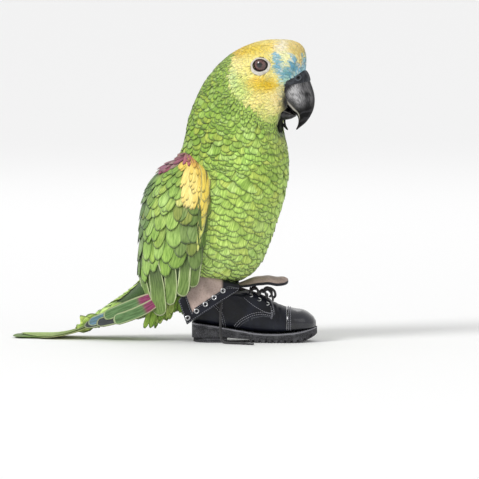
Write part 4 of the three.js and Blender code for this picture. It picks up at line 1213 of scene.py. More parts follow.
def make_body_feathers():
    """The feathers of the head, neck, breast, belly and rump, each kind in a piece of its own."""
    a, b = scattered(feather_spacing, lambda points: ~bare(points), 11)
    point = body_surface(a, b)
    size = feather_spacing(point)
    random = np.random.default_rng(12)
    n = len(a)
    length = size * np.interp(size, [1.3, 3, 6, 9], [3.9, 3.1, 2.3, 2.4]) * random.uniform(0.88, 1.14, n)
    width = size * np.interp(size, [1.3, 3, 6, 9], [1.52, 1.78, 2.15, 2.05]) * random.uniform(0.88, 1.16, n)
    lean = random.normal(0, 0.09, n) + eye_lean(point, a, b)
    coat, right = coat_depth(a), point[:, 1] < 0
    face, fine, wide = Vane(5, 4, 0.75, 0.5), Vane(6, 6, 0.5, 0.4), Vane(8, 8, 0.34, 0.4)
    kinds = (("face_right", (size < 2.3) & right, face, 3), ("face_left", (size < 2.3) & ~right, face, 3),
             ("nape", (size >= 2.3) & (size < 4.1), fine, 5),
             ("neck", (size >= 4.1) & (a < 9), Vane(8, 8, 0.44, 0.4), 8),
             ("breast", (size >= 4.1) & (a >= 9) & (a < 14.6), wide, 8),
             ("rump", (size >= 4.1) & (a >= 14.6), Vane(9, 8, 0.46, 0.4), 8))
    green = feather_material("body_plumage", 0.5, 0.2, edge_width=0.6)
    soft = feather_material("face_plumage", 0.24, 0.1, glow=0.2, heart=(0.97, 1.0),
                            streaks=(0.9, (0.92, 0.9, 0.8), (1.1, 1.1, 1.22)))
    for name, chosen, vane, steps in kinds:
        on_face = vane is face
        own_a, own_b, own_length = a[chosen], b[chosen], length[chosen]
        shaft = laid(body_surface, -1, own_a, own_b, lean[chosen], own_length, steps)
        colour, dark = body_colour(shaft[0][:, (2 * steps) // 3], random)
        varied = many_toned(colour, random, 0.3 if on_face else 0.55)
        pack = feathers(
            vane, shaft, own_length, width[chosen], (varied, varied),
            (-coat[chosen], 0.04 + 0.035 * size[chosen]), thick=0.12, bend=0.03 if on_face else 0.016,
            dark=dark * random.uniform(0.75, 1.0, len(dark)), roll=random.normal(0, 0.05, len(dark)),
            shade=0.98 if on_face else 0.5, patch=np.stack([own_a / BODY_LAST, own_b / FULL_TURN + 0.5], 1))
        finished(feather_piece(f"{name}_feathers", pack), soft if on_face else green,
                 "plumage_yellow" if on_face else "plumage_green")


# Loose tufts: how many feathers a side, the box of their roots (x, aside, z), their way down and back, their
# length and width, how far they stand apart, how dark their edges are, and their colours.
TUFTS = (
    ("flank", 64, ((-47, -20), (4, 14.5), (2, 18)), (-0.4, 0.0, -1), (17, 27), (5.0, 7.0), 0.2, 0.7,
     ("a9cf5e", "8fb74a", "c2dc7c")),
    # The chin's near black feathers stand for painted shade under the lower bill.
    ("chin", 20, ((40, 62), (0, 7), (174, 188)), (0.02, 0.25, -1), (4, 8), (1.6, 2.4), 0.3, 0.0,
     ("0f110b", "1c2012", "2c331a")),
)


def make_tufts():
    """The loose feathers that hang behind the boot, and the near black ones under the bill that stand for
    painted shade.
    """
    material = feather_material("loose_plumage", 0.5, 0.2, glow=0.0, edge_width=0.5)
    vane = Vane(9, 6, 0.5, 0.45)
    for seed, (name, count, box, way, long, wide, apart, dark, paints) in enumerate(TUFTS, 51):
        random = np.random.default_rng(seed)
        packs = []
        for side, _ in SIDES:
            if name == "flank":
                x, aside, z = (random.uniform(*span, count) for span in box)
                roots = np.stack([x, side * aside, z + np.interp(x, [-50, -22], [27, 41])], 1)
            else:
                roots = body_surface(random.uniform(0, BODY_LAST, 20000), random.uniform(-np.pi, np.pi, 20000))
                low, high = np.array(box).T
                aside = roots * (1, side, 1)
                roots = roots[np.all((aside >= low) & (aside < high), axis=1)][:count]
            ways = np.array(way) * (1, side, 1) + random.normal(0, apart, (count, 3)) * (1, 0.5, 0.3)
            length, width = random.uniform(*long, count), random.uniform(*wide, count)
            length = np.minimum(length, roots[:, 2] - 7)
            outwards = np.array([0.15, side, 0.1]) + random.normal(0, 0.15, (count, 3))
            shaft = hanging(roots, ways, outwards, length, 0.5)
            colour = np.array([rgb(c) for c in paints])[random.integers(0, len(paints), count)]
            patch = surface_patch(random.uniform(0, 1, count), random.uniform(0, 1, count), side)
            # The roots are painted darker, as shade under the body.
            packs.append(feathers(vane, shaft, length, width, (colour * 0.8, colour), (0, 0.3), thick=0.15,
                                  dark=dark, shade=0.8, patch=patch))
        finished(feather_piece(f"{name}_tuft", *packs), material, "plumage_green")


def covert_table(random, side):
    """Every covert, row by row from the shoulder down: the height of its tip, how far back it lies, its width
    and its length."""
    table, row, front = [], 0, 149.5
    while front > 49:
        share = (150 - front) / 100
        gap = 4.6 + 9.5 * share ** 0.9
        hind, width, length = front - 15 * share ** 1.3, 6.2 + 10.5 * share, gap * 2.3 + 3
        z = (front + hind) / 2
        girth = path_length(wing_surface(wing_down(z), np.linspace(0, 1, 40), side))
        back = 0.012 + 0.3 * (row % 2) * width / girth
        while back < 1.0:
            tip = front + (hind - front) * back + random.normal(0, 0.17) * width
            olive = 1.3 if back < 0.3 and 72 < z < 108 else 1.0
            narrow = back > 0.74
            wide = width * olive * (0.72 if narrow else 1) * random.uniform(0.82, 1.22)
            table.append((tip, back, wide, length * (0.85 if narrow else 1)))
            back += 0.6 * wide * random.uniform(0.85, 1.15) / girth
        row, front = row + 1, front - gap
    return np.array(table)


def patch_table(random, side):
    """The long soft feathers of the wing's yellow patch, in the same columns."""
    table, across = [], np.linspace(0, 1, 240)
    for level in np.arange(PATCH_TOP - 1, PATCH_LOW - 1, -8.0):
        ring = wing_surface(wing_down(level + 4), across, side)
        hind = across[np.argmax(marking_plane(ring)[0] < PATCH_HIND + 1.0)]
        for back in np.arange(0.01, hind, 2.1 / path_length(ring)):
            low = PATCH_LOW + 5 * abs(2 * (back - 0.01) / hind - 0.9) ** 4
            tip = max(level + random.uniform(-4.5, 4.5), low)
            table.append((tip, back, random.uniform(4.6, 6.4), random.uniform(24, 34)))
    return np.array(table)


# The narrow feathers that hang down the wing's front edge below the patch, in the same columns.
STRAP = np.array([
    (112, 0.05, 7.6, 36), (103, 0.045, 6.8, 36), (94, 0.04, 6.0, 36), (86, 0.036, 4.8, 36),
    (117, 0.07, 5.0, 34), (114, 0.03, 5.6, 34), (108, 0.062, 5.2, 34), (105, 0.03, 5.6, 34),
    (99, 0.055, 5.0, 34), (96, 0.03, 5.0, 34), (91, 0.05, 4.4, 34), (88, 0.028, 4.4, 34),
    (82, 0.042, 3.8, 34), (76, 0.034, 3.2, 36),
])


def make_coverts():
    """The small and middle feathers of both wings, in rows like roof tiles, the yellow patch and its strap."""
    tiled = feather_material("wing_coverts", 0.6, 0.3, edge_width=0.7)
    soft = feather_material("patch_plumage", 0.3, 0.12, glow=0.15, heart=(0.93, 1.2),
                            streaks=(1.0, (0.86, 0.82, 0.7), (1.14, 1.14, 1.25)))
    tile, lock = Vane(12, 10, 0.5, 0.45), Vane(10, 4, 0.4, 0.5)
    for side, name in SIDES:
        random = np.random.default_rng(21)
        surface = lambda a, b: wing_surface(a, b, side)
        packs = []
        for table, vane, rise, flare in ((covert_table(random, side), tile, (-2.2, 0.5), 1.0),
                                         (patch_table(random, side), lock, (-0.35, 0.18), 0.05),
                                         (STRAP, lock, (-0.4, 1.2), 0.02)):
            if vane is tile:
                forward, up = marking_plane(surface(wing_down(table[:, 0] + 2), table[:, 1]))
                table = table[(forward < PATCH_HIND) | (up < PATCH_LOW - 1) | (up > PATCH_TOP + 2)]
            tip, back, width, length = table.T
            down, n = wing_down(tip + length * 0.98), len(tip)
            lean = flare * (random.normal(0, 0.1, n) + 0.12 * side * (back - 0.4))
            shaft = laid(surface, outward_sign(surface, 0.5, 0.4), down, back, lean, length, 12)
            root_colour, _ = wing_colour(shaft[0][:, 4])
            colour, edge = wing_colour(shaft[0][:, 9])
            if table is STRAP:
                colour, edge = tinted("ccd46c", "dcc650", step(tip, 86, 104)), -0.35
                # The roots are painted darker, as shade under the feathers over them.
                root_colour = colour * 0.8
            varied = many_toned(colour, random, 0.38 if vane is tile else 0.2)
            packs.append(feathers(vane, shaft, length, width, (root_colour, varied), rise,
                                  thick=0.3 if vane is tile else 0.15, dark=edge * random.uniform(0.8, 1.0, n),
                                  roll=0.05 * side, shade=0.5 if vane is tile else 0.97,
                                  patch=surface_patch(down, back)))
        finished(feather_piece(f"wing_coverts_{name}", packs[0]), tiled, "wing_feathers", f"wing_{name}")
        finished(feather_piece(f"wing_patch_{name}", *packs[1:]), soft, "wing_feathers")


# The folded secondaries: how high their tips lie, how far back, their width and length, and how far out.
SECONDARIES = np.array([
    (44, 0.02, 10, 46, -1.5), (36.5, 0.12, 11, 48, -0.8), (29.5, 0.27, 12.5, 50, -0.2),
    (20.5, 0.46, 16.5, 54, 0.6), (25, 0.6, 13, 54, -0.7), (30, 0.72, 12, 54, 0.0),
    (27, 0.86, 11.5, 56, -0.9), (34, 0.99, 11, 56, -1.5),
])


def make_secondaries():
    """The long feathers at the folded wing's lower edge, and one sheet for the quills' plain inner sides."""
    material = feather_material("secondaries", 0.7, 0.45, glow=0.1)
    vane = Vane(22, 12, 0.15, 0.75, 0.5)
    tip, back, width, length, out = SECONDARIES.T
    down, n = wing_down(tip + length * 0.97), len(tip)
    level, sheet_back = grid(np.linspace(0, 1, 60), np.linspace(0.05, 0.97, 40))
    sheet_down = 0.42 + level * (0.3 + 0.14 * step(sheet_back, 0.15, 0.45))
    for side, name in SIDES:
        surface = lambda a, b: wing_surface(a, b, side)
        random = np.random.default_rng(31)
        shaft = laid(surface, outward_sign(surface, 0.5, 0.4), down, back, np.zeros(n), length, 22)
        leaf = np.array(rgb("6a8644")) * (1 + random.normal(0, 0.07, (n, 1)))
        root = np.tile(rgb("4c6434"), (n, 1))
        pack = feathers(vane, shaft, length, width, (root, leaf), (out - 1.2, out + 0.1), thick=0.45,
                        bend=0.008, dark=-1.0, roll=0.02 * side, patch=surface_patch(down, back))
        piece = feather_piece(f"secondaries_{name}", pack)
        outer, inner = (wing_surface(sheet_down, sheet_back, side, deep) for deep in (1.9, 3.1))
        sheet = closed_sheet("sheet", outer, inner, side)
        join_sheet(piece, sheet, "3d5530")
        finished(piece, material, "wing_feathers", f"wing_{name}")


# The folded primaries: where the shaft starts and ends along them, how far across, width, and how far out.
PRIMARY_BLADES = np.array([
    (0.02, 1.0, 0.52, 9, -0.9), (0.0, 0.93, 0.36, 9.5, -0.45), (0.0, 0.82, 0.62, 9.5, 0.0),
    (0.0, 0.7, 0.3, 10, 0.45), (0.0, 0.6, 0.7, 10, 0.9),
])


def make_primaries():
    """The wing's long tip feathers, folded beside the tail, with the red patch at their bases."""
    material = feather_material("primaries", 0.7, 0.5, glow=0.1)
    vane = Vane(24, 8, 0.12, 0.8, 0.4)
    start, end, across, width, out = PRIMARY_BLADES.T
    n, length = len(start), (end - start) * path_length(PRIMARIES[:, :3]) * 0.99
    black, green, red, blue = (rgb(code) for code in ("20282c", "4b6e3e", "7d2a58", "4d6f86"))
    root, colour = np.array([black, red, red, red, red]), np.array([black, blue, black, green, green])
    for side, name in SIDES:
        surface = lambda a, b: primary_surface(a, b, side)
        outward = outward_sign(surface, 0.4, 0.5, (0, side, 0))
        shaft = laid(surface, outward, start, across, np.zeros(n), length, 24)
        pack = feathers(vane, shaft, length, width, (root * 2, colour), (out - 0.1, out), thick=0.55,
                        bend=0.004, dark=-0.6, change=(0.27, 0.36),
                        patch=surface_patch(start + 0.1 + 0.15 * np.arange(n), across))
        finished(feather_piece(f"primary_quills_{name}", pack), material, "quills", f"primaries_{name}")


def make_tail():
    """The tail's feathers, above and below, over one thin core."""
    random = np.random.default_rng(41)
    material = feather_material("tail_vanes", 0.8, 0.6, glow=0.1)
    packs = []
    for under, count, width, short in ((False, 12, 11.5, 1.0), (True, 8, 14.0, 0.97)):
        aside = np.linspace(-0.86, 0.86, count)
        order = np.abs(aside)
        surface = lambda a, b: tail_surface(a, b, under)
        up = outward_sign(surface, 0.5, 0.1, (0, 0, -1 if under else 1))
        length = (112 - 24 * order ** 1.6) * short
        shaft = laid(surface, up, 0 * aside, aside, 0 * aside, length, 26)
        root, tip = np.array(rgb("6f9440")), np.array(rgb("98b85c")) * (1 + random.normal(0, 0.06, (count, 1)))
        out = 0.15 - 0.9 * order
        if under:
            root, tip, out = root * 1.1, np.array(rgb("a9b45e")), -0.45 + 0 * order
        colours = [colour + np.zeros((count, 3)) for colour in (root * 1.7, tip)]
        packs.append(feathers(
            Vane(26, 10, 0.13, 0.7, 0.45), shaft, length, width, colours, (out - 0.4, out), thick=0.4,
            bend=0.006, dark=-0.8, roll=0.03 * np.sign(aside),
            patch=surface_patch(0.3 + 0.3 * under + 0 * aside, aside / 2 + 0.5)))
    piece = feather_piece("tail_quills", *packs)
    along, aside = grid(np.linspace(0.0, 0.93, 50), np.linspace(-1, 1, 24))
    half = smooth(TAIL[:, 2], along * (len(TAIL) - 1)) - 1
    above = tail_surface(along, aside) - (0, 0, 0.9)
    below = np.maximum(tail_surface(along, aside, True) + (0, 0, 0.9), (-1e4, -1e4, 0.6))
    for sheet in (above, below):
        sheet[..., 1] = np.clip(sheet[..., 1], -half, half)
    join_sheet(piece, closed_sheet("core", above, below), "5d7a38")
    finished(piece, material, "tail_feathers", "tail")


def bill_half(name, table, first, rows, sides, shape):
    """One half of the bill, with each point's station and its angle from the back."""
    along, turn = grid(np.linspace(first, len(table) - 1.012, rows), circle(sides))
    folded = folded_angle(turn)
    return loft(name, shape(section_surface(table, along, turn), along, folded)), along, folded


def upper_shape(points, along, folded):
    """Gives the upper half its keel, its hollow flanks and the notch of its cutting edge."""
    keel = hump(folded, 0, 0.28) * step(along, 1.2, 2.5) * step(along, 6.9, 6)
    flank = hump(folded, 1.05, 0.3) * step(along, 1.6, 3)
    notch = (hump(along, 4.1, 0.35) - 0.7 * hump(along, 3.3, 0.4)) * hump(folded, 2.45, 0.22)
    points[..., 1] *= 1 - 0.035 * flank
    points = points + unit(points - (62, 0, 196)) * (0.28 * keel)[..., None] * (1, 0, 1)
    points[..., 2] += 0.5 * notch
    return points


def lower_shape(points, along, folded):
    """Hollows the lower half where the upper one closes over it."""
    points[..., 2] -= 1.2 * step(np.cos(folded), -0.2, 0.5) * step(along, 0.6, 1.4)
    return points


def make_bill():
    """The bill's two halves and the bare skin with the nostrils over its root."""
    upper, along, folded = bill_half("bill_upper_horn", BILL_UPPER, 0.45, 190, 132, upper_shape)
    # Painted highlight: a grey patch on the bill's upper side, where the light falls on it.
    bloom = hump(folded, 1.5, 0.5) * step(along, 1.0, 1.5) * step(along, 4.4, 2.0)
    bloom = bloom + 0.4 * hump(folded, 0.5, 0.3) * step(along, 1.1, 2) * step(along, 5, 3)
    # Painted highlight: a pale line along the upper half's cutting edge.
    edge = hump(folded, 2.3, 0.09) * step(along, 1.0, 1.6) * step(along, 5.6, 4.4) * 0.85
    set_values(upper, bloom=bloom, edge=edge, growth=along, turn=folded)
    cere = shown("cere_skin", upper.data.copy())
    root, ahead = CERE_EDGE[0], unit((CERE_EDGE[1] - CERE_EDGE[0])[::-1] * (-1, 0, 1))
    cut_flat(upper, root, -ahead)
    cut_flat(cere, root + 0.05 * ahead, ahead)
    places = places_of(cere)
    aside = np.abs(places[:, 1])
    swell = 0.75 * step((places - root) @ ahead, -0.1, 1.6) * step(aside, 0.2, 4)
    gap = np.linalg.norm((places - NOSTRIL) * (1, 0, 1), axis=1)
    on_side = step(aside, 2.5, 4.5)
    ring, hole = hump(gap, 2.0, 0.6) * on_side, hump(gap, 0, 1.15) * on_side
    away = unit((places - places.mean(0)) * (0.7, 1, 0.7))
    move_to(cere, places + away * (swell + 0.35 * ring - 1.7 * hole)[:, None])
    # The hole's negative share darkens the nostril, as painted shade in its hollow.
    set_values(cere, ring=ring - 1.6 * hole)
    for piece in (upper, cere):
        piece.data.set_sharp_from_angle(angle=math.radians(38))
    horn = horn_material()
    finished(upper, horn, "bill_horn", "bill_upper")
    finished(cere, cere_material(), "cere_skin", "cere")
    lower, along, folded = bill_half("bill_lower_horn", BILL_LOWER, 0.2, 90, 96, lower_shape)
    # A faint grey painted highlight on the lower half, and a pale painted highlight along its cutting edge.
    set_values(lower, bloom=0.25 * hump(folded, 1.9, 0.4) * step(along, 0.8, 1.4),
               edge=0.25 * hump(folded, 1.1, 0.1), growth=along * 1.4, turn=folded)
    finished(lower, horn, "bill_horn", "bill_lower")


# How far the bare ring's skin stands out, from its inner edge (0) to its outer edge (1).
LID_RISE = np.array([
    (0, 0.1), (0.02, 0.5), (0.07, 0.85), (0.13, 0.9), (0.2, 0.75), (0.26, 0.5), (0.34, 0.42),
    (0.44, 0.5), (0.54, 0.4), (0.64, 0.45), (0.74, 0.32), (0.84, 0.3), (0.92, 0.15), (1.0, -0.05),
])


def make_eyes():
    """Both eyeballs, and the bare ring with its lids round each."""
    ball_material, ring_material = eye_material(), lid_material()
    face = body_surface(*grid(np.linspace(0.0, 9, 260), np.linspace(-np.pi, np.pi, 200))).reshape(-1, 3)
    face = BVHTree.FromPolygons(face.tolist(), grid_faces(260, 200).tolist())
    tilt, turn = grid(np.linspace(0.004, np.pi - 0.004, 90), circle(96))
    bulge = EYE_RADIUS + 0.35 * np.exp(-((np.sin(tilt) * EYE_RADIUS / 4.2) ** 4)) * (tilt < 1.2)
    radius = np.sin(tilt) * bulge
    spread = np.where(tilt < np.pi / 2, radius, 9)
    angle, share = circle(128), np.linspace(0, 1, 46)
    inner = LID_INNER * np.stack([np.cos(angle), np.sin(angle)], 1)
    inner[:, 1] -= 0.25 * np.cos(angle) ** 2 * np.sign(np.sin(angle))
    ragged = 1 + 0.03 * np.sin(3 * angle + 1) + 0.022 * np.sin(7 * angle)
    outer = LID_OUTER * np.stack([np.cos(angle), np.sin(angle)], 1) * ragged[:, None] + LID_SHIFT[[0, 2]]
    ring = inner[None] + (outer - inner)[None] * share[:, None, None]
    reach = np.linalg.norm(ring, axis=2)
    ball_out = EYE_AT[1] + np.sqrt(np.maximum(EYE_RADIUS ** 2 - reach ** 2, 0))
    ball_out = ball_out - 2.5 * np.maximum(reach - 0.93 * EYE_RADIUS, 0)
    blend, rise = step(share, 0.0, 0.5)[:, None], np.interp(share, *LID_RISE.T)[:, None]
    for side, name in SIDES:
        centre = EYE_AT * (1, side, 1)
        rows = np.stack([radius * np.cos(turn), np.cos(tilt) * bulge * side, radius * np.sin(turn)], -1)
        ball = loft(f"eyeball_{name}", rows[:, ::-side] + centre)
        set_maps(ball, Lie=np.stack([np.append(spread, [0, 9]), np.append(turn, [0, 0])], 1))
        finished(ball, ball_material, "eye", f"eye_{name}")
        skin = np.array([[abs(seen_from_side(face, centre[0] + a, centre[2] + b, side)[0].y) for a, b in row]
                         for row in ring])
        base = np.maximum(ball_out, np.maximum(ball_out, skin - 0.5) * (1 - blend) + skin * blend)
        out = np.concatenate([base + rise, (base + rise)[::-1] - 1.3])
        x, z = np.moveaxis(np.concatenate([ring, ring[::-1]]), -1, 0)
        lid = ring_mesh(f"eye_ring_{name}", np.stack([centre[0] + x, side * out, centre[2] + z], -1), side)
        set_values(lid, ring=np.repeat(np.concatenate([share, share[::-1]]), len(angle)))
        finished(lid, ring_material, "cere_skin", f"eye_{name}")


def make_feet():
    """Scales for the feet and horn for the claws: the CAD's own pieces keep their shape inside the boot."""
    scales, claw = Finish("foot_scales", Roughness=0.6), Finish("claw_horn", Roughness=0.35)
    cells = scales.cells(700)
    scales.done(scales.mix(cells.ramp(0.1, 0.7), "8d8a84", "4c4a48"), cells, 0.6, 0.0004)
    claw.done(claw.mix(claw.noise(500), "151417", "4a464a"))
    for node in bpy.context.scene.objects:
        for kind, finish in (("foot_", scales), ("claw_", claw)):
            if node.type == "MESH" and node.name.startswith(kind):
                node.data.materials.clear()
                node.data.materials.append(finish.material)


# ------------------------------------------------------------------ copies

def copies_tree():
    """Geometry nodes that set a copy of an object on every point, turned to the point's ahead and out."""
    found = bpy.data.node_groups.get("copies_on_points")
    if found:
        return found
    tree = bpy.data.node_groups.new("copies_on_points", "GeometryNodeTree")
    for name, way, kind in (("Geometry", "INPUT", "Geometry"), ("Copied object", "INPUT", "Object"),
                            ("Size", "INPUT", "Float"), ("Material", "INPUT", "Material"),
                            ("Geometry", "OUTPUT", "Geometry")):
        tree.interface.new_socket(name, in_out=way, socket_type=f"NodeSocket{kind}")
    given = tree.nodes.new("NodeGroupInput").outputs
    copied = put(tree, "GeometryNodeObjectInfo", {"Object": Value(given["Copied object"])}, "Geometry")
    ahead, out = (put(tree, "GeometryNodeInputNamedAttribute", {"Name": name}, data_type="FLOAT_VECTOR")
                  for name in ("ahead", "out"))
    turn = put(tree, "FunctionNodeAlignRotationToVector", {"Vector": ahead}, axis="X")
    turn = put(tree, "FunctionNodeAlignRotationToVector", {"Rotation": turn, "Vector": out}, axis="Z",
               pivot_axis="X")
    placed = put(tree, "GeometryNodeInstanceOnPoints", {
        "Points": Value(given["Geometry"]), "Instance": copied, "Rotation": turn,
        "Scale": Value(given["Size"])})
    real = put(tree, "GeometryNodeRealizeInstances", {0: placed})
    painted = put(tree, "GeometryNodeSetMaterial", {"Geometry": real, "Material": Value(given["Material"])})
    feed(tree.nodes.new("NodeGroupOutput").inputs[0], painted)
    return tree


def copies(name, copied, places, material):
    """A mesh of copies of an object, one at each place of the boot: points, directions and normals."""
    points, aheads, normals = boot_places(*places)
    mesh = points_mesh(name, points)
    for key, values in (("ahead", aheads), ("out", normals)):
        mesh.attributes.new(key, "FLOAT_VECTOR", "POINT").data.foreach_set("vector", flat(values))
    piece = shown(name, mesh)
    nodes = piece.modifiers.new("copies", "NODES")
    nodes.node_group = copies_tree()
    given = {"Copied object": copied, "Size": 1.0, "Material": material}
    for item in nodes.node_group.interface.items_tree:
        if item.name in given:
            nodes[item.identifier] = given[item.name]
    applied(piece)
    bpy.data.objects.remove(copied)
    return piece


def stitched(name, thread_name, places, slot, length=1.35, radius=0.27):
    """Stitches at places of the boot: short threads that dip into the leather at both ends."""
    at = np.linspace(-0.5, 0.5, 9)
    points = np.stack([at * length, 0 * at, 0.16 - 1.3 * at ** 2], 1)
    stitch = tube_mesh("stitch", points, radius * np.sqrt(1.02 - (2 * at) ** 4), 8)
    thread = thread_material(thread_name)
    finished(copies(name, stitch, places, thread), thread, slot)


# ------------------------------------------------------------------ the boot

# Edges of the upper's panels, seen from the side: x, z. The panel to the left of each line lies on top.
QUARTER_EDGE = np.array([(18.5, 7), (20.6, 11.5), (24.8, 15.9), (33.2, 20.6), (42, 22.2), (48.5, 21.4),
                         (51.2, 24), (50.6, 28.5), (48.5, 33), (46, 41)])
COUNTER_EDGE = np.array([(12.6, 9), (12.2, 13.2), (11.6, 18.2), (8.9, 26.6), (2.2, 33.3), (-6, 36.8),
                         (-18, 38.5)])
# The upper's seams, seen from the side: lines of x and z, how many rows of stitches, and how far apart.
SEAMS = (
    (QUARTER_EDGE[1:8] + (-1.0, 1.4), 2, 1.7), (COUNTER_EDGE[1:6] + (-1.3, -1.0), 2, 1.6),
    (((8.4, 28.5), (8.2, 33), (8.0, 44)), 2, 1.5),
    (((26.5, 36.4), (33, 31.2), (41, 26.4), (47.6, 24.2)), 1, 0),
    (((48.9, 20.4), (49.4, 23.4), (49.2, 26.4)), 2, 0.8),
)
BOOT_SIDES = ((-1, "near"), (1, "far"))


def upper_surface(along, angle, inset=0.0, lift=0.0):
    """The boot's upper in its own frame: a station, and an angle from the top. lift raises an open cavity."""
    x, half_width, top, bottom, square = np.moveaxis(smooth(UPPER, along), -1, 0)
    low = bottom + (1.2 if inset > 0 else 0)
    high = top - inset + lift * (x < MOUTH_END)
    middle = low + 0.36 * (high - low)
    cosine, sine = np.cos(angle), np.sin(angle)
    side = np.sign(sine) * np.abs(sine) ** 0.75 * (half_width - inset)
    round_top = (high - middle) * np.abs(cosine) ** square
    round_low = (low - middle) * np.abs(cosine) ** (0.3 if inset > 0 else 0.45)
    x = x + inset * np.where(along < (len(UPPER) - 1) / 2, 1, -1)
    return np.stack([x + 0 * angle, side, middle + np.where(cosine > 0, round_top, round_low)], -1)


def edge_gap(x, z, line):
    """How far points, seen from the side, lie from an open line: above 0 to its left, below to its right."""
    place = np.stack([x, z], -1)
    best, sign = np.full(x.shape, 1e9), np.ones(x.shape)
    for start, end in zip(line[:-1], line[1:]):
        ahead = end - start
        share = np.clip(((place - start) @ ahead) / (ahead @ ahead), 0, 1)
        gap = np.linalg.norm(place - start - share[..., None] * ahead, axis=-1)
        left = np.sign(ahead[0] * (place[..., 1] - start[1]) - ahead[1] * (place[..., 0] - start[0]))
        closer = gap < best
        best, sign = np.where(closer, gap, best), np.where(closer, left, sign)
    return best * sign


def upper_relief(points):
    """How far each point of the upper stands out where its panels lie on one another, and at its creases."""
    x, z = points[..., 0], points[..., 2]
    quarter = step(edge_gap(x, z, QUARTER_EDGE), -0.3, 0.3) * (x < 53)
    counter = step(edge_gap(x, z, COUNTER_EDGE), -0.3, 0.3) * (x < 14) * (z < 40)
    crease = np.sin(x * 1.35 + 0.35 * np.sin(z * 0.9)) * hump(x, 53.5, 4.5) * 0.16
    return 0.5 * quarter + 0.45 * counter + crease


def upper_rows(rows, sides, inset=0.0, lift=0.0):
    points = upper_surface(*grid(np.linspace(0.0, len(UPPER) - 1.0, rows), circle(sides)), inset, lift)
    if inset:
        return points
    return points + unit(points * (0, 1, 1) - (0, 0, 20)) * (upper_relief(points) - 0.15)[..., None]


def into_place(piece, material, slot, node):
    """Moves a piece made in the boot's frame to the model's frame, and finishes it."""
    move_to(piece, from_boot(places_of(piece)))
    finished(piece, material, slot, node)


def make_upper():
    """The boot's hollow leather upper and its toe cap, with panels that lie on one another and stitches."""
    whole = loft("boot_quarters", upper_rows(300, 220))
    outer = surface_tree(whole)
    cavity = loft("cavity", upper_rows(110, 110, LEATHER, 12.0))
    cut = whole.modifiers.new("cut", "BOOLEAN")
    cut.operation, cut.solver, cut.object = "DIFFERENCE", "EXACT", cavity
    applied(whole)
    bpy.data.objects.remove(cavity)
    toe = shown("boot_toe_leather", whole.data.copy())
    for piece, keep in ((whole, -1), (toe, 1)):
        cut_flat(piece, (TOE_CAP_X + keep * 0.12, 0, 0), (keep, 0, 0))
        piece.data.shade_smooth()
        places = places_of(piece)
        if piece is toe:
            x = places[:, :1]
            swell = 0.55 * step(x, TOE_CAP_X, TOE_CAP_X + 1.2) + 1.1 * step(x, 68, 80)
            away = unit(places * (0, 1, 1) - (0, 0, 15) + np.maximum(x - 66, 0) * (1, 0, 0))
            places = places + away * swell * (places[:, 2:] > 11)
            move_to(piece, places)
        gap = np.array([outer.find_nearest(p)[3] for p in places.tolist()])
        edge = hump(edge_gap(places[:, 0], places[:, 2], QUARTER_EDGE), 0, 0.3) * 0.6 * (gap < 0.8)
        set_values(piece, lined=step(gap, 1.0, 1.5) * (keep < 0), edge=edge)
        piece.data.set_sharp_from_angle(angle=math.radians(50))
    places = seams(surface_tree(whole), surface_tree(toe))
    into_place(whole, black_leather(), "boot_leather", "boot_upper")
    into_place(toe, leather_material("toe_leather", 800, 1.0, "23252d", 0.12), "boot_leather", "boot_toe_cap")
    stitched("upper_stitches", "seam_thread", places, "boot_leather")


def seams(quarters, toe):
    """Where every stitch of the upper lies: points, directions and normals, in the boot's frame."""
    found = []
    for line, count, apart in SEAMS:
        curve = smooth(line, np.linspace(0, len(line) - 1, 40))
        ahead = unit(np.gradient(curve, axis=0))
        for row in range(count):
            moved = curve + np.stack([-ahead[:, 1], ahead[:, 0]], 1) * apart * row
            for side, _ in SIDES:
                hits = [seen_from_side(quarters, x, z, side) for x, z in moved]
                found.append([hit for hit in hits if hit[0] is not None])
    angle, at = np.linspace(-1.9, 1.9, 120), np.linspace(0, len(UPPER) - 1, 600)
    for x in (TOE_CAP_X + 1.3, TOE_CAP_X + 3.0):
        station = np.interp(x, smooth(UPPER, at)[:, 0], at)
        found.append([toe.find_nearest(p)[:2] for p in upper_surface(station + 0 * angle, angle).tolist()])
    pitch = bpy.context.scene.parrot_boot.stitch / MM
    lines = [evenly(np.array([(*point, *normal) for point, normal in hits]), pitch) for hits in found]
    even, ahead = (np.concatenate(part) for part in zip(*lines))
    return even[:, :3], unit(ahead[:, :3]), unit(even[:, 3:])


def sole_row(at):
    """The sole at its stations: x and half width on smooth lines, top and bottom on straight ones."""
    x, half_width = smooth(SOLE[:, :2], at).T
    top, bottom = (np.interp(at, np.arange(len(SOLE)), SOLE[:, k]) for k in (2, 3))
    return x, half_width, top, bottom


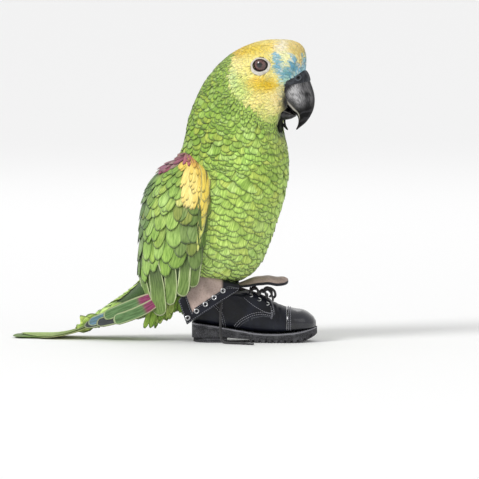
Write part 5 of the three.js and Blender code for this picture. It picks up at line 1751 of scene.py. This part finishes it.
def make_sole():
    """The sole with its welt, grooves and lugs, the heel under it, and the stitches along the welt."""
    x, half_width, top, bottom = (v[:, None] for v in sole_row(np.linspace(0.02, len(SOLE) - 1.02, 420)))
    cosine, sine = np.cos(circle(120)), np.sin(circle(120))
    aside = np.sign(cosine) * np.abs(cosine) ** 0.12
    z = (top + bottom) / 2 + (top - bottom) / 2 * np.sign(sine) * np.abs(sine) ** 0.28
    lip = step(z - (top - 2.6), -0.25, 0.25)
    groove = hump(z, top - 3.0, 0.35) + 0.6 * hump(z, top - 5.2, 0.3)
    pulse = step(np.abs((x / 5.2) % 1 - 0.5), 0.14, 0.2)
    lug = (1 - pulse) * step(z - bottom, 2.3, 1.7) * (bottom < 5) * (x > 32)
    inset = 0.9 * (1 - lip) + 0.5 * groove + 1.6 * lug
    y = aside * (half_width - inset * step(np.abs(aside), 0.9, 0.99))
    z = z + 1.1 * lug * (sine < -0.5) * (bottom < 0.4)
    sole = loft("boot_sole_rubber", np.stack([x + 0 * y, y, z], -1))
    set_values(sole, welt=step(np.abs(aside), 0.8, 0.95) * hump(z, top - 0.25, 0.45))
    turn = np.linspace(np.pi / 2, 1.5 * np.pi, 60)
    outline = np.stack([-HEEL_BACK * np.cos(turn), HEEL_HALF * np.sin(turn)], 1)
    outline = np.vstack([outline, (HEEL_FRONT, -HEEL_HALF), (HEEL_FRONT, HEEL_HALF), outline[0]])
    outline = evenly(outline, 0.6)[0][:-1]
    inward = unit(outline - (-1.5, 0))
    heel = loft("boot_heel_rubber", np.array([
        np.column_stack([outline - inward * inset, np.full(len(outline), level)])
        for level, inset in HEEL_STEPS])[:, ::-1])
    set_values(heel, welt=0.0)
    material = rubber_material()
    for piece, node in ((sole, "boot_sole"), (heel, "boot_heel")):
        piece.data.set_sharp_from_angle(angle=math.radians(40))
        into_place(piece, material, "sole_rubber", node)
    x, half_width, top, _ = sole_row(np.linspace(0.6, len(SOLE) - 1.25, 200))
    right, left = (np.stack([x, side * (half_width - WELT_INSET), top], 1) for side, _ in SIDES)
    edge = np.concatenate([right[::-1], left])
    even, ahead = evenly(edge[edge[:, 0] < 84.5], WELT_PITCH)
    places = even, ahead, np.tile((0.0, 0.0, 1.0), (len(even), 1))
    stitched("welt_stitches", "welt_thread", places, "sole_rubber", 1.5, 0.3)


def border_distance(points):
    """How far each point of a grid lies from the ends of its own line of points, along the first direction."""
    start = np.cumsum(np.linalg.norm(np.diff(points, axis=0, prepend=points[:1]), axis=-1), 0)
    return np.minimum(start, start[-1] - start)


def plate_mesh(name, surface, a, b, round_edge=0.9):
    """A closed sheet with rounded edges, with 1 for its points on top, and how far each lies from the border.
    surface(a, b, depth) gives its points, depth running from 0 to 1."""
    a, b = grid(a, b)
    middle = surface(a, b, 0.5 + 0 * a)
    reach = np.minimum(border_distance(middle), border_distance(middle.swapaxes(0, 1)).T)
    bulge = np.sqrt(1 - (1 - np.clip(reach / round_edge, 0, 1)) ** 2) / 2
    faces, inner = two_sides(*a.shape)
    top, under = (surface(a, b, 0.5 + way * bulge).reshape(-1, 3) for way in (1, -1))
    piece = mesh_from(name, np.vstack([top, under[inner]]), faces)
    return piece, np.append(np.ones(len(top)), 0 * inner), np.append(reach, reach.ravel()[inner])


def close_ends(count, fine=0.006):
    """Numbers from 0 to 1 that lie closer together at both ends."""
    ends = np.array([0, fine, 2.6 * fine, 5 * fine])
    return np.concatenate([ends, np.linspace(9 * fine, 1 - 9 * fine, count), 1 - ends[::-1]])


def flap_out(x, z):
    """How far from the boot's middle a folded side's sheet hangs."""
    start, end = FOLD
    fold = start[1] + (x - start[0]) / (end[0] - start[0]) * (end[1] - start[1])
    return FLAP_WALL + FLAP_STAND + FLAP_SPREAD * (fold - 3 - z)


def fold_line(along):
    return FOLD[0] + along[..., None] * (FOLD[1] - FOLD[0])


def free_edge(along):
    """A point of the folded side's free edge (x, z)."""
    first = np.clip(along / FREE_CORNER, 0, 1)
    second = np.clip((along - FREE_CORNER) / (1 - FREE_CORNER), 0, 1)
    a, b, c = FREE_EDGE
    return a + first[..., None] * (b - a) + second[..., None] * (c - b)


def flap_surface(side):
    """A folded side of the shaft: along its fold, down from inside the fold, and through its leather."""
    def surface(along, down, depth):
        fold = fold_line(along)
        inner, roll = 0.08, 0.24
        radius = (FLAP_STAND + LEATHER) / 2 - 0.35
        thick = (depth - 0.5) * LEATHER
        angle = np.clip((down - inner) / (roll - inner), 0, 1) * np.pi
        below = np.where(down < inner, -2.5 * (1 - down / inner), 0)
        out = FLAP_WALL + FLAP_STAND - radius - np.cos(angle) * (radius + thick)
        up = fold[..., 1] - 3 + below + np.sin(angle) * (radius + thick)
        rolled = np.stack([fold[..., 0], side * out, up], -1)
        fall = np.clip((down - roll) / (1 - roll), 0, 1)
        x, z = np.moveaxis(fold - (0, 3) + fall[..., None] * (free_edge(along) - fold + (0, 3)), -1, 0)
        wave = 0.25 * np.sin(along * 9 + 1) * fall ** 2
        hung = np.stack([x, side * (flap_out(x, z) + thick + wave), z], -1)
        return np.where((down < roll)[..., None], rolled, hung)
    return surface


def facing_surface(side):
    """The black strip along the folded side's free edge, which holds the eyelets."""
    def surface(along, across, depth):
        fold = fold_line(along) - (0, 3)
        fall_line = free_edge(along) - fold
        first, second = FREE_EDGE[1] - FREE_EDGE[0], FREE_EDGE[2] - FREE_EDGE[1]
        border = np.where((along < FREE_CORNER)[..., None], unit(first), unit(second))
        reach = np.abs(fall_line[..., 0] * border[..., 1] - fall_line[..., 1] * border[..., 0])
        start = np.maximum(0.02, 1 - FACING_WIDTH / reach)
        fall = start + (1.004 - start) * across
        x, z = np.moveaxis(fold + fall[..., None] * fall_line, -1, 0)
        wave = 0.25 * np.sin(along * 9 + 1) * fall ** 2
        return np.stack([x, side * (flap_out(x, z) + LEATHER / 2 + wave + 0.02 + FACING_THICK * depth), z], -1)
    return surface


def make_flaps():
    """The folded sides of the shaft, their strips of black leather and the strips' stitches."""
    found, pitch = [], bpy.context.scene.parrot_boot.stitch / MM
    corner, along = np.sort(np.append(close_ends(70), FREE_CORNER)), np.linspace(0.02, 0.985, 240)
    for side, name in BOOT_SIDES:
        flap, top, _ = plate_mesh(f"flap_{name}", flap_surface(side), corner, close_ends(90))
        set_values(flap, lined=top * step(places_of(flap)[:, 0], 9.5, 7), edge=0.0)
        strip, _, rim = plate_mesh(f"facing_{name}", facing_surface(side), corner, close_ends(20, 0.01), 0.5)
        set_values(strip, lined=0.0, edge=0.75 * hump(rim, 0.25, 0.22))
        for piece, slot in ((flap, "boot_lining"), (strip, "boot_leather")):
            if side > 0:
                piece.data.flip_normals()
            into_place(piece, black_leather(), slot, f"boot_flap_{name}")
        for across in (0.14, 0.88):
            even, ahead = evenly(facing_surface(side)(along, across + 0 * along, 1 + 0 * along), pitch)
            found.append((even, ahead, np.tile((0.0, side, FLAP_SPREAD), (len(even), 1))))
    places = [np.concatenate(part) for part in zip(*found)]
    stitched("facing_stitches", "facing_thread", places, "boot_leather", 1.2, 0.22)


def eyelet_ring():
    """A rolled metal eyelet that faces +Z."""
    turn, profile = grid(circle(40), circle(14))
    radius = (EYELET_RADIUS + EYELET_HOLE) / 2 + (EYELET_RADIUS - EYELET_HOLE) / 2 * np.cos(profile)
    height = 0.42 * np.sin(profile) + 0.3
    return ring_mesh("eyelet", np.stack([radius * np.cos(turn), radius * np.sin(turn), height], -1))


def make_eyelets():
    """All the eyelets: five on each folded side and three on each side of the throat."""
    metal = metal_material()
    line = EYELET_ENDS[0] + np.linspace(0, 1, EYELET_COUNT)[:, None] * (EYELET_ENDS[1] - EYELET_ENDS[0])
    out = flap_out(*line.T) + LEATHER / 2 + 0.78
    outside, faces = upper_rows(160, 160).reshape(-1, 3), grid_faces(160, 160, True)
    upper = BVHTree.FromPolygons(outside.tolist(), faces.tolist())
    for side, name in BOOT_SIDES:
        low = [upper.ray_cast(Vector((x, side * y, 70)), Vector((0, 0, -1))) for x, _, y in LACE_BARS]
        points = np.vstack([np.stack([line[:, 0], side * out, line[:, 1]], 1), [hit[0] for hit in low]])
        normals = unit(np.tile((0.0, side, FLAP_SPREAD), (EYELET_COUNT, 1)))
        normals = np.vstack([normals, [hit[1] for hit in low]])
        aheads = np.tile((1.0, 0.0, 0.0), (len(points), 1))
        piece = copies(f"eyelets_{name}", eyelet_ring(), (points, aheads, normals), metal)
        finished(piece, metal, "eyelet_metal", *(f"eyelet_{name}_{i + 1}" for i in range(EYELET_COUNT)))


def tongue_surface(along, across, depth):
    x = TONGUE_BACK + along * (TONGUE_FRONT - TONGUE_BACK)
    side = 2 * across - 1
    narrow = np.sqrt(np.clip(1 - np.clip((along - 0.78) / 0.22, 0, None) ** 2, 0.02, 1))
    end = 1 - np.sqrt(np.clip(1 - np.clip((along - 0.88) / 0.12, 0, None) ** 2, 0, 1))
    rise = 46.4 + 6.6 * step(x, 16, 40) - 1.0 * step(x, 46, 62) - 2.6 * end
    droop = 5.6 * step(x, 14, 36) * side ** 2 * (1 - end)
    wave = 0.35 * np.sin(x * 0.45) * step(along, 0.3, 0.7)
    return np.stack([x, side * TONGUE_HALF * narrow, rise - droop + wave + (depth - 0.5) * TONGUE_THICK], -1)


def make_tongue():
    """The tongue, pulled up and forward over the laces, with a dark binding round its edge."""
    tongue, _, rim = plate_mesh("tongue_leather", tongue_surface, close_ends(80), close_ends(50))
    set_values(tongue, lined=0.78 * step(rim, 1.0, 1.5), edge=0.0)
    into_place(tongue, black_leather(), "boot_lining", "boot_tongue")


# The loose turns of the lace between its bars, in the boot's frame.
LACE_TURNS = (
    [(31.6, 9.8, 40.6), (33.2, 6, 43.8), (35.2, 0, 44.6), (37, -6, 42.8), (38.3, -9.8, 38.4)],
    [(31.6, -9.8, 40.6), (33.4, -6, 43.2), (35.2, -0.4, 42.9), (37, 6, 42.2), (38.3, 9.8, 38.4)],
    [(38.3, 9.6, 38.6), (40, 5.4, 41.4), (41.8, 0, 42.3), (43.6, -5.6, 40), (45, -9.6, 35.8)],
    [(38.3, -9.6, 38.6), (40.1, -5.4, 41), (41.8, 0.2, 40.6), (43.5, 5.6, 39.6), (45, 9.6, 35.8)],
    [(42, 1.5, 41), (43.5, 5, 43.4), (46, 7.4, 43.6), (48.6, 7.2, 41), (48.6, 6.4, 37.6), (47, 5.4, 36)],
    [(43.2, -0.5, 41.6), (45.6, -2.5, 42.6), (48, -5, 40.6), (49.4, -8.4, 37.2), (49.8, -11.6, 34.6)],
)


def make_laces():
    """The laces across the throat, the loop, and the loose turns between them."""
    braid, span = bpy.data.materials["lace_braid"], np.linspace(-1, 1, 40)
    for number, (x, z, _) in enumerate(LACE_BARS, 1):
        points = np.stack([x + 0 * span, span * 9.5, z - 2.6 * span ** 2], 1)
        bar = tube_mesh(f"lace_across_{number}", from_boot(points), LACE_RADIUS, 14)
        finished(bar, braid, "lace", f"lace_bar_{number}")
    loop = tube_mesh("lace_bow", from_boot(route(LACE_LOOP, 70)), LACE_RADIUS, 14)
    finished(loop, braid, "lace", "lace_loop")
    for number, points in enumerate(LACE_TURNS, 1):
        turn = tube_mesh(f"lace_turn_{number}", from_boot(route(points, 60)), 0.92, 12)
        finished(turn, braid, "lace")


# The lamps: their kind, their share of the key or fill light, their angle or width, and their place in metres.
LAMPS = (
    ("key", "SUN", 1, math.radians(22), (-1.35, -1.7, 1.6)),
    ("left_box", "AREA", 1, 0.9, (-1.1, -1.4, 1.5)),
    ("right_box", "AREA", 0.6, 1.2, (1.7, -1.1, 0.9)),
    ("back_box", "AREA", 0.6, 1.2, (-0.7, 1.7, 1.4)),
)
FLOOR_REACH = 3e4


def studio_stage():
    scene, stage = bpy.context.scene, bpy.context.scene.parrot_stage
    corners = np.array([(-1, -1, 0), (1, -1, 0), (1, 1, 0), (-1, 1, 0)])
    floor = mesh_from("floor", corners * FLOOR_REACH, [(0, 1, 2, 3)])
    floor.data.materials.append(Finish("floor_paper", Base_Color=stage.floor, Roughness=0.9).material)
    scene.world = bpy.data.worlds.new("studio")
    scene.world.use_nodes = True
    background = scene.world.node_tree.nodes["Background"].inputs
    background["Color"].default_value = (1, 1, 1, 1)
    background["Strength"].default_value = stage.sky
    scene.view_settings.view_transform = "Standard"
    middle = Vector((-0.03, 0, 0.12))
    for name, kind, share, size, place in LAMPS:
        data = bpy.data.lights.new(name, kind)
        data.energy = share * (stage.key if kind == "SUN" else stage.fill)
        setattr(data, "angle" if kind == "SUN" else "size", size)
        aimed(name, data, place, middle - Vector(place))


# ------------------------------------------------------------------ the add-on

class PARROT_OT_camera(Operator):
    """Set up the camera"""

    bl_idname = "parrot.camera"
    bl_label = "Camera"

    def execute(self, context):
        studio_camera()
        return {"FINISHED"}


class PARROT_OT_lace_end(Operator):
    """Make the lace's loose end and its tip"""

    bl_idname = "parrot.lace_end"
    bl_label = "Loose lace"

    def execute(self, context):
        loose_lace()
        return {"FINISHED"}


class PARROT_OT_skin(Operator):
    """Make the one skin that lies under the coat"""

    bl_idname = "parrot.skin"
    bl_label = "Skin"

    def execute(self, context):
        make_skin()
        return {"FINISHED"}


class PARROT_OT_body_feathers(Operator):
    """Lay the feathers of the head, neck, breast and rump"""

    bl_idname = "parrot.body_feathers"
    bl_label = "Body feathers"

    def execute(self, context):
        make_body_feathers()
        return {"FINISHED"}


class PARROT_OT_tufts(Operator):
    """Hang the loose feathers behind the boot and under the bill"""

    bl_idname = "parrot.tufts"
    bl_label = "Loose tufts"

    def execute(self, context):
        make_tufts()
        return {"FINISHED"}


class PARROT_OT_coverts(Operator):
    """Lay the wings' coverts"""

    bl_idname = "parrot.coverts"
    bl_label = "Wing coverts"

    def execute(self, context):
        make_coverts()
        return {"FINISHED"}


class PARROT_OT_secondaries(Operator):
    """Lay the wings' long lower feathers"""

    bl_idname = "parrot.secondaries"
    bl_label = "Secondaries"

    def execute(self, context):
        make_secondaries()
        return {"FINISHED"}


class PARROT_OT_primaries(Operator):
    """Lay the wings' folded tips"""

    bl_idname = "parrot.primaries"
    bl_label = "Primaries"

    def execute(self, context):
        make_primaries()
        return {"FINISHED"}


class PARROT_OT_tail(Operator):
    """Lay the tail's feathers"""

    bl_idname = "parrot.tail"
    bl_label = "Tail"

    def execute(self, context):
        make_tail()
        return {"FINISHED"}


class PARROT_OT_bill(Operator):
    """Make the bill and the bare skin over its root"""

    bl_idname = "parrot.bill"
    bl_label = "Bill"

    def execute(self, context):
        make_bill()
        return {"FINISHED"}


class PARROT_OT_eyes(Operator):
    """Make the eyes and the bare rings round them"""

    bl_idname = "parrot.eyes"
    bl_label = "Eyes"

    def execute(self, context):
        make_eyes()
        return {"FINISHED"}


class PARROT_OT_feet(Operator):
    """Give the feet and claws their scales and horn"""

    bl_idname = "parrot.feet"
    bl_label = "Feet"

    def execute(self, context):
        make_feet()
        return {"FINISHED"}


class PARROT_OT_boot_leather(Operator):
    """Make the boot's upper and its stitches"""

    bl_idname = "parrot.boot_leather"
    bl_label = "Boot leather"

    def execute(self, context):
        make_upper()
        return {"FINISHED"}


class PARROT_OT_sole(Operator):
    """Make the sole, its heel and the welt's stitches"""

    bl_idname = "parrot.sole"
    bl_label = "Sole"

    def execute(self, context):
        make_sole()
        return {"FINISHED"}


class PARROT_OT_flaps(Operator):
    """Make the folded sides of the boot's shaft"""

    bl_idname = "parrot.flaps"
    bl_label = "Folded sides"

    def execute(self, context):
        make_flaps()
        return {"FINISHED"}


class PARROT_OT_eyelets(Operator):
    """Set every eyelet"""

    bl_idname = "parrot.eyelets"
    bl_label = "Eyelets"

    def execute(self, context):
        make_eyelets()
        return {"FINISHED"}


class PARROT_OT_tongue(Operator):
    """Make the boot's tongue"""

    bl_idname = "parrot.tongue"
    bl_label = "Tongue"

    def execute(self, context):
        make_tongue()
        return {"FINISHED"}


class PARROT_OT_laces(Operator):
    """Lay the laces across the throat"""

    bl_idname = "parrot.laces"
    bl_label = "Laces"

    def execute(self, context):
        make_laces()
        return {"FINISHED"}


class PARROT_OT_stage(Operator):
    """Set up the floor and the lights"""

    bl_idname = "parrot.stage"
    bl_label = "Stage"

    def execute(self, context):
        studio_stage()
        return {"FINISHED"}


OPERATORS = (
    PARROT_OT_camera,
    PARROT_OT_lace_end,
    PARROT_OT_skin,
    PARROT_OT_body_feathers,
    PARROT_OT_tufts,
    PARROT_OT_coverts,
    PARROT_OT_secondaries,
    PARROT_OT_primaries,
    PARROT_OT_tail,
    PARROT_OT_bill,
    PARROT_OT_eyes,
    PARROT_OT_feet,
    PARROT_OT_boot_leather,
    PARROT_OT_sole,
    PARROT_OT_flaps,
    PARROT_OT_eyelets,
    PARROT_OT_tongue,
    PARROT_OT_laces,
    PARROT_OT_stage,
)


class PARROT_PT_panel(Panel):
    bl_idname = "PARROT_PT_panel"
    bl_label = "Parrot"
    bl_space_type = "VIEW_3D"
    bl_region_type = "UI"
    bl_category = "Parrot"

    def draw(self, context):
        for operator in OPERATORS:
            self.layout.operator(operator.bl_idname)


SETTINGS = (
    ("parrot_plumage", PlumageSettings), ("parrot_boot", BootSettings), ("parrot_stage", StageSettings),
)


def register():
    for name, group in SETTINGS:
        bpy.utils.register_class(group)
        setattr(bpy.types.Scene, name, PointerProperty(type=group))
    for kind in (*OPERATORS, PARROT_PT_panel):
        bpy.utils.register_class(kind)


def unregister():
    for kind in (PARROT_PT_panel, *reversed(OPERATORS)):
        bpy.utils.unregister_class(kind)
    for name, group in reversed(SETTINGS):
        delattr(bpy.types.Scene, name)
        bpy.utils.unregister_class(group)


def main():
    """Makes every piece in order."""
    register()
    for operator in OPERATORS:
        family, name = operator.bl_idname.split(".")
        getattr(getattr(bpy.ops, family), name)()


if __name__ == "__main__":
    main()
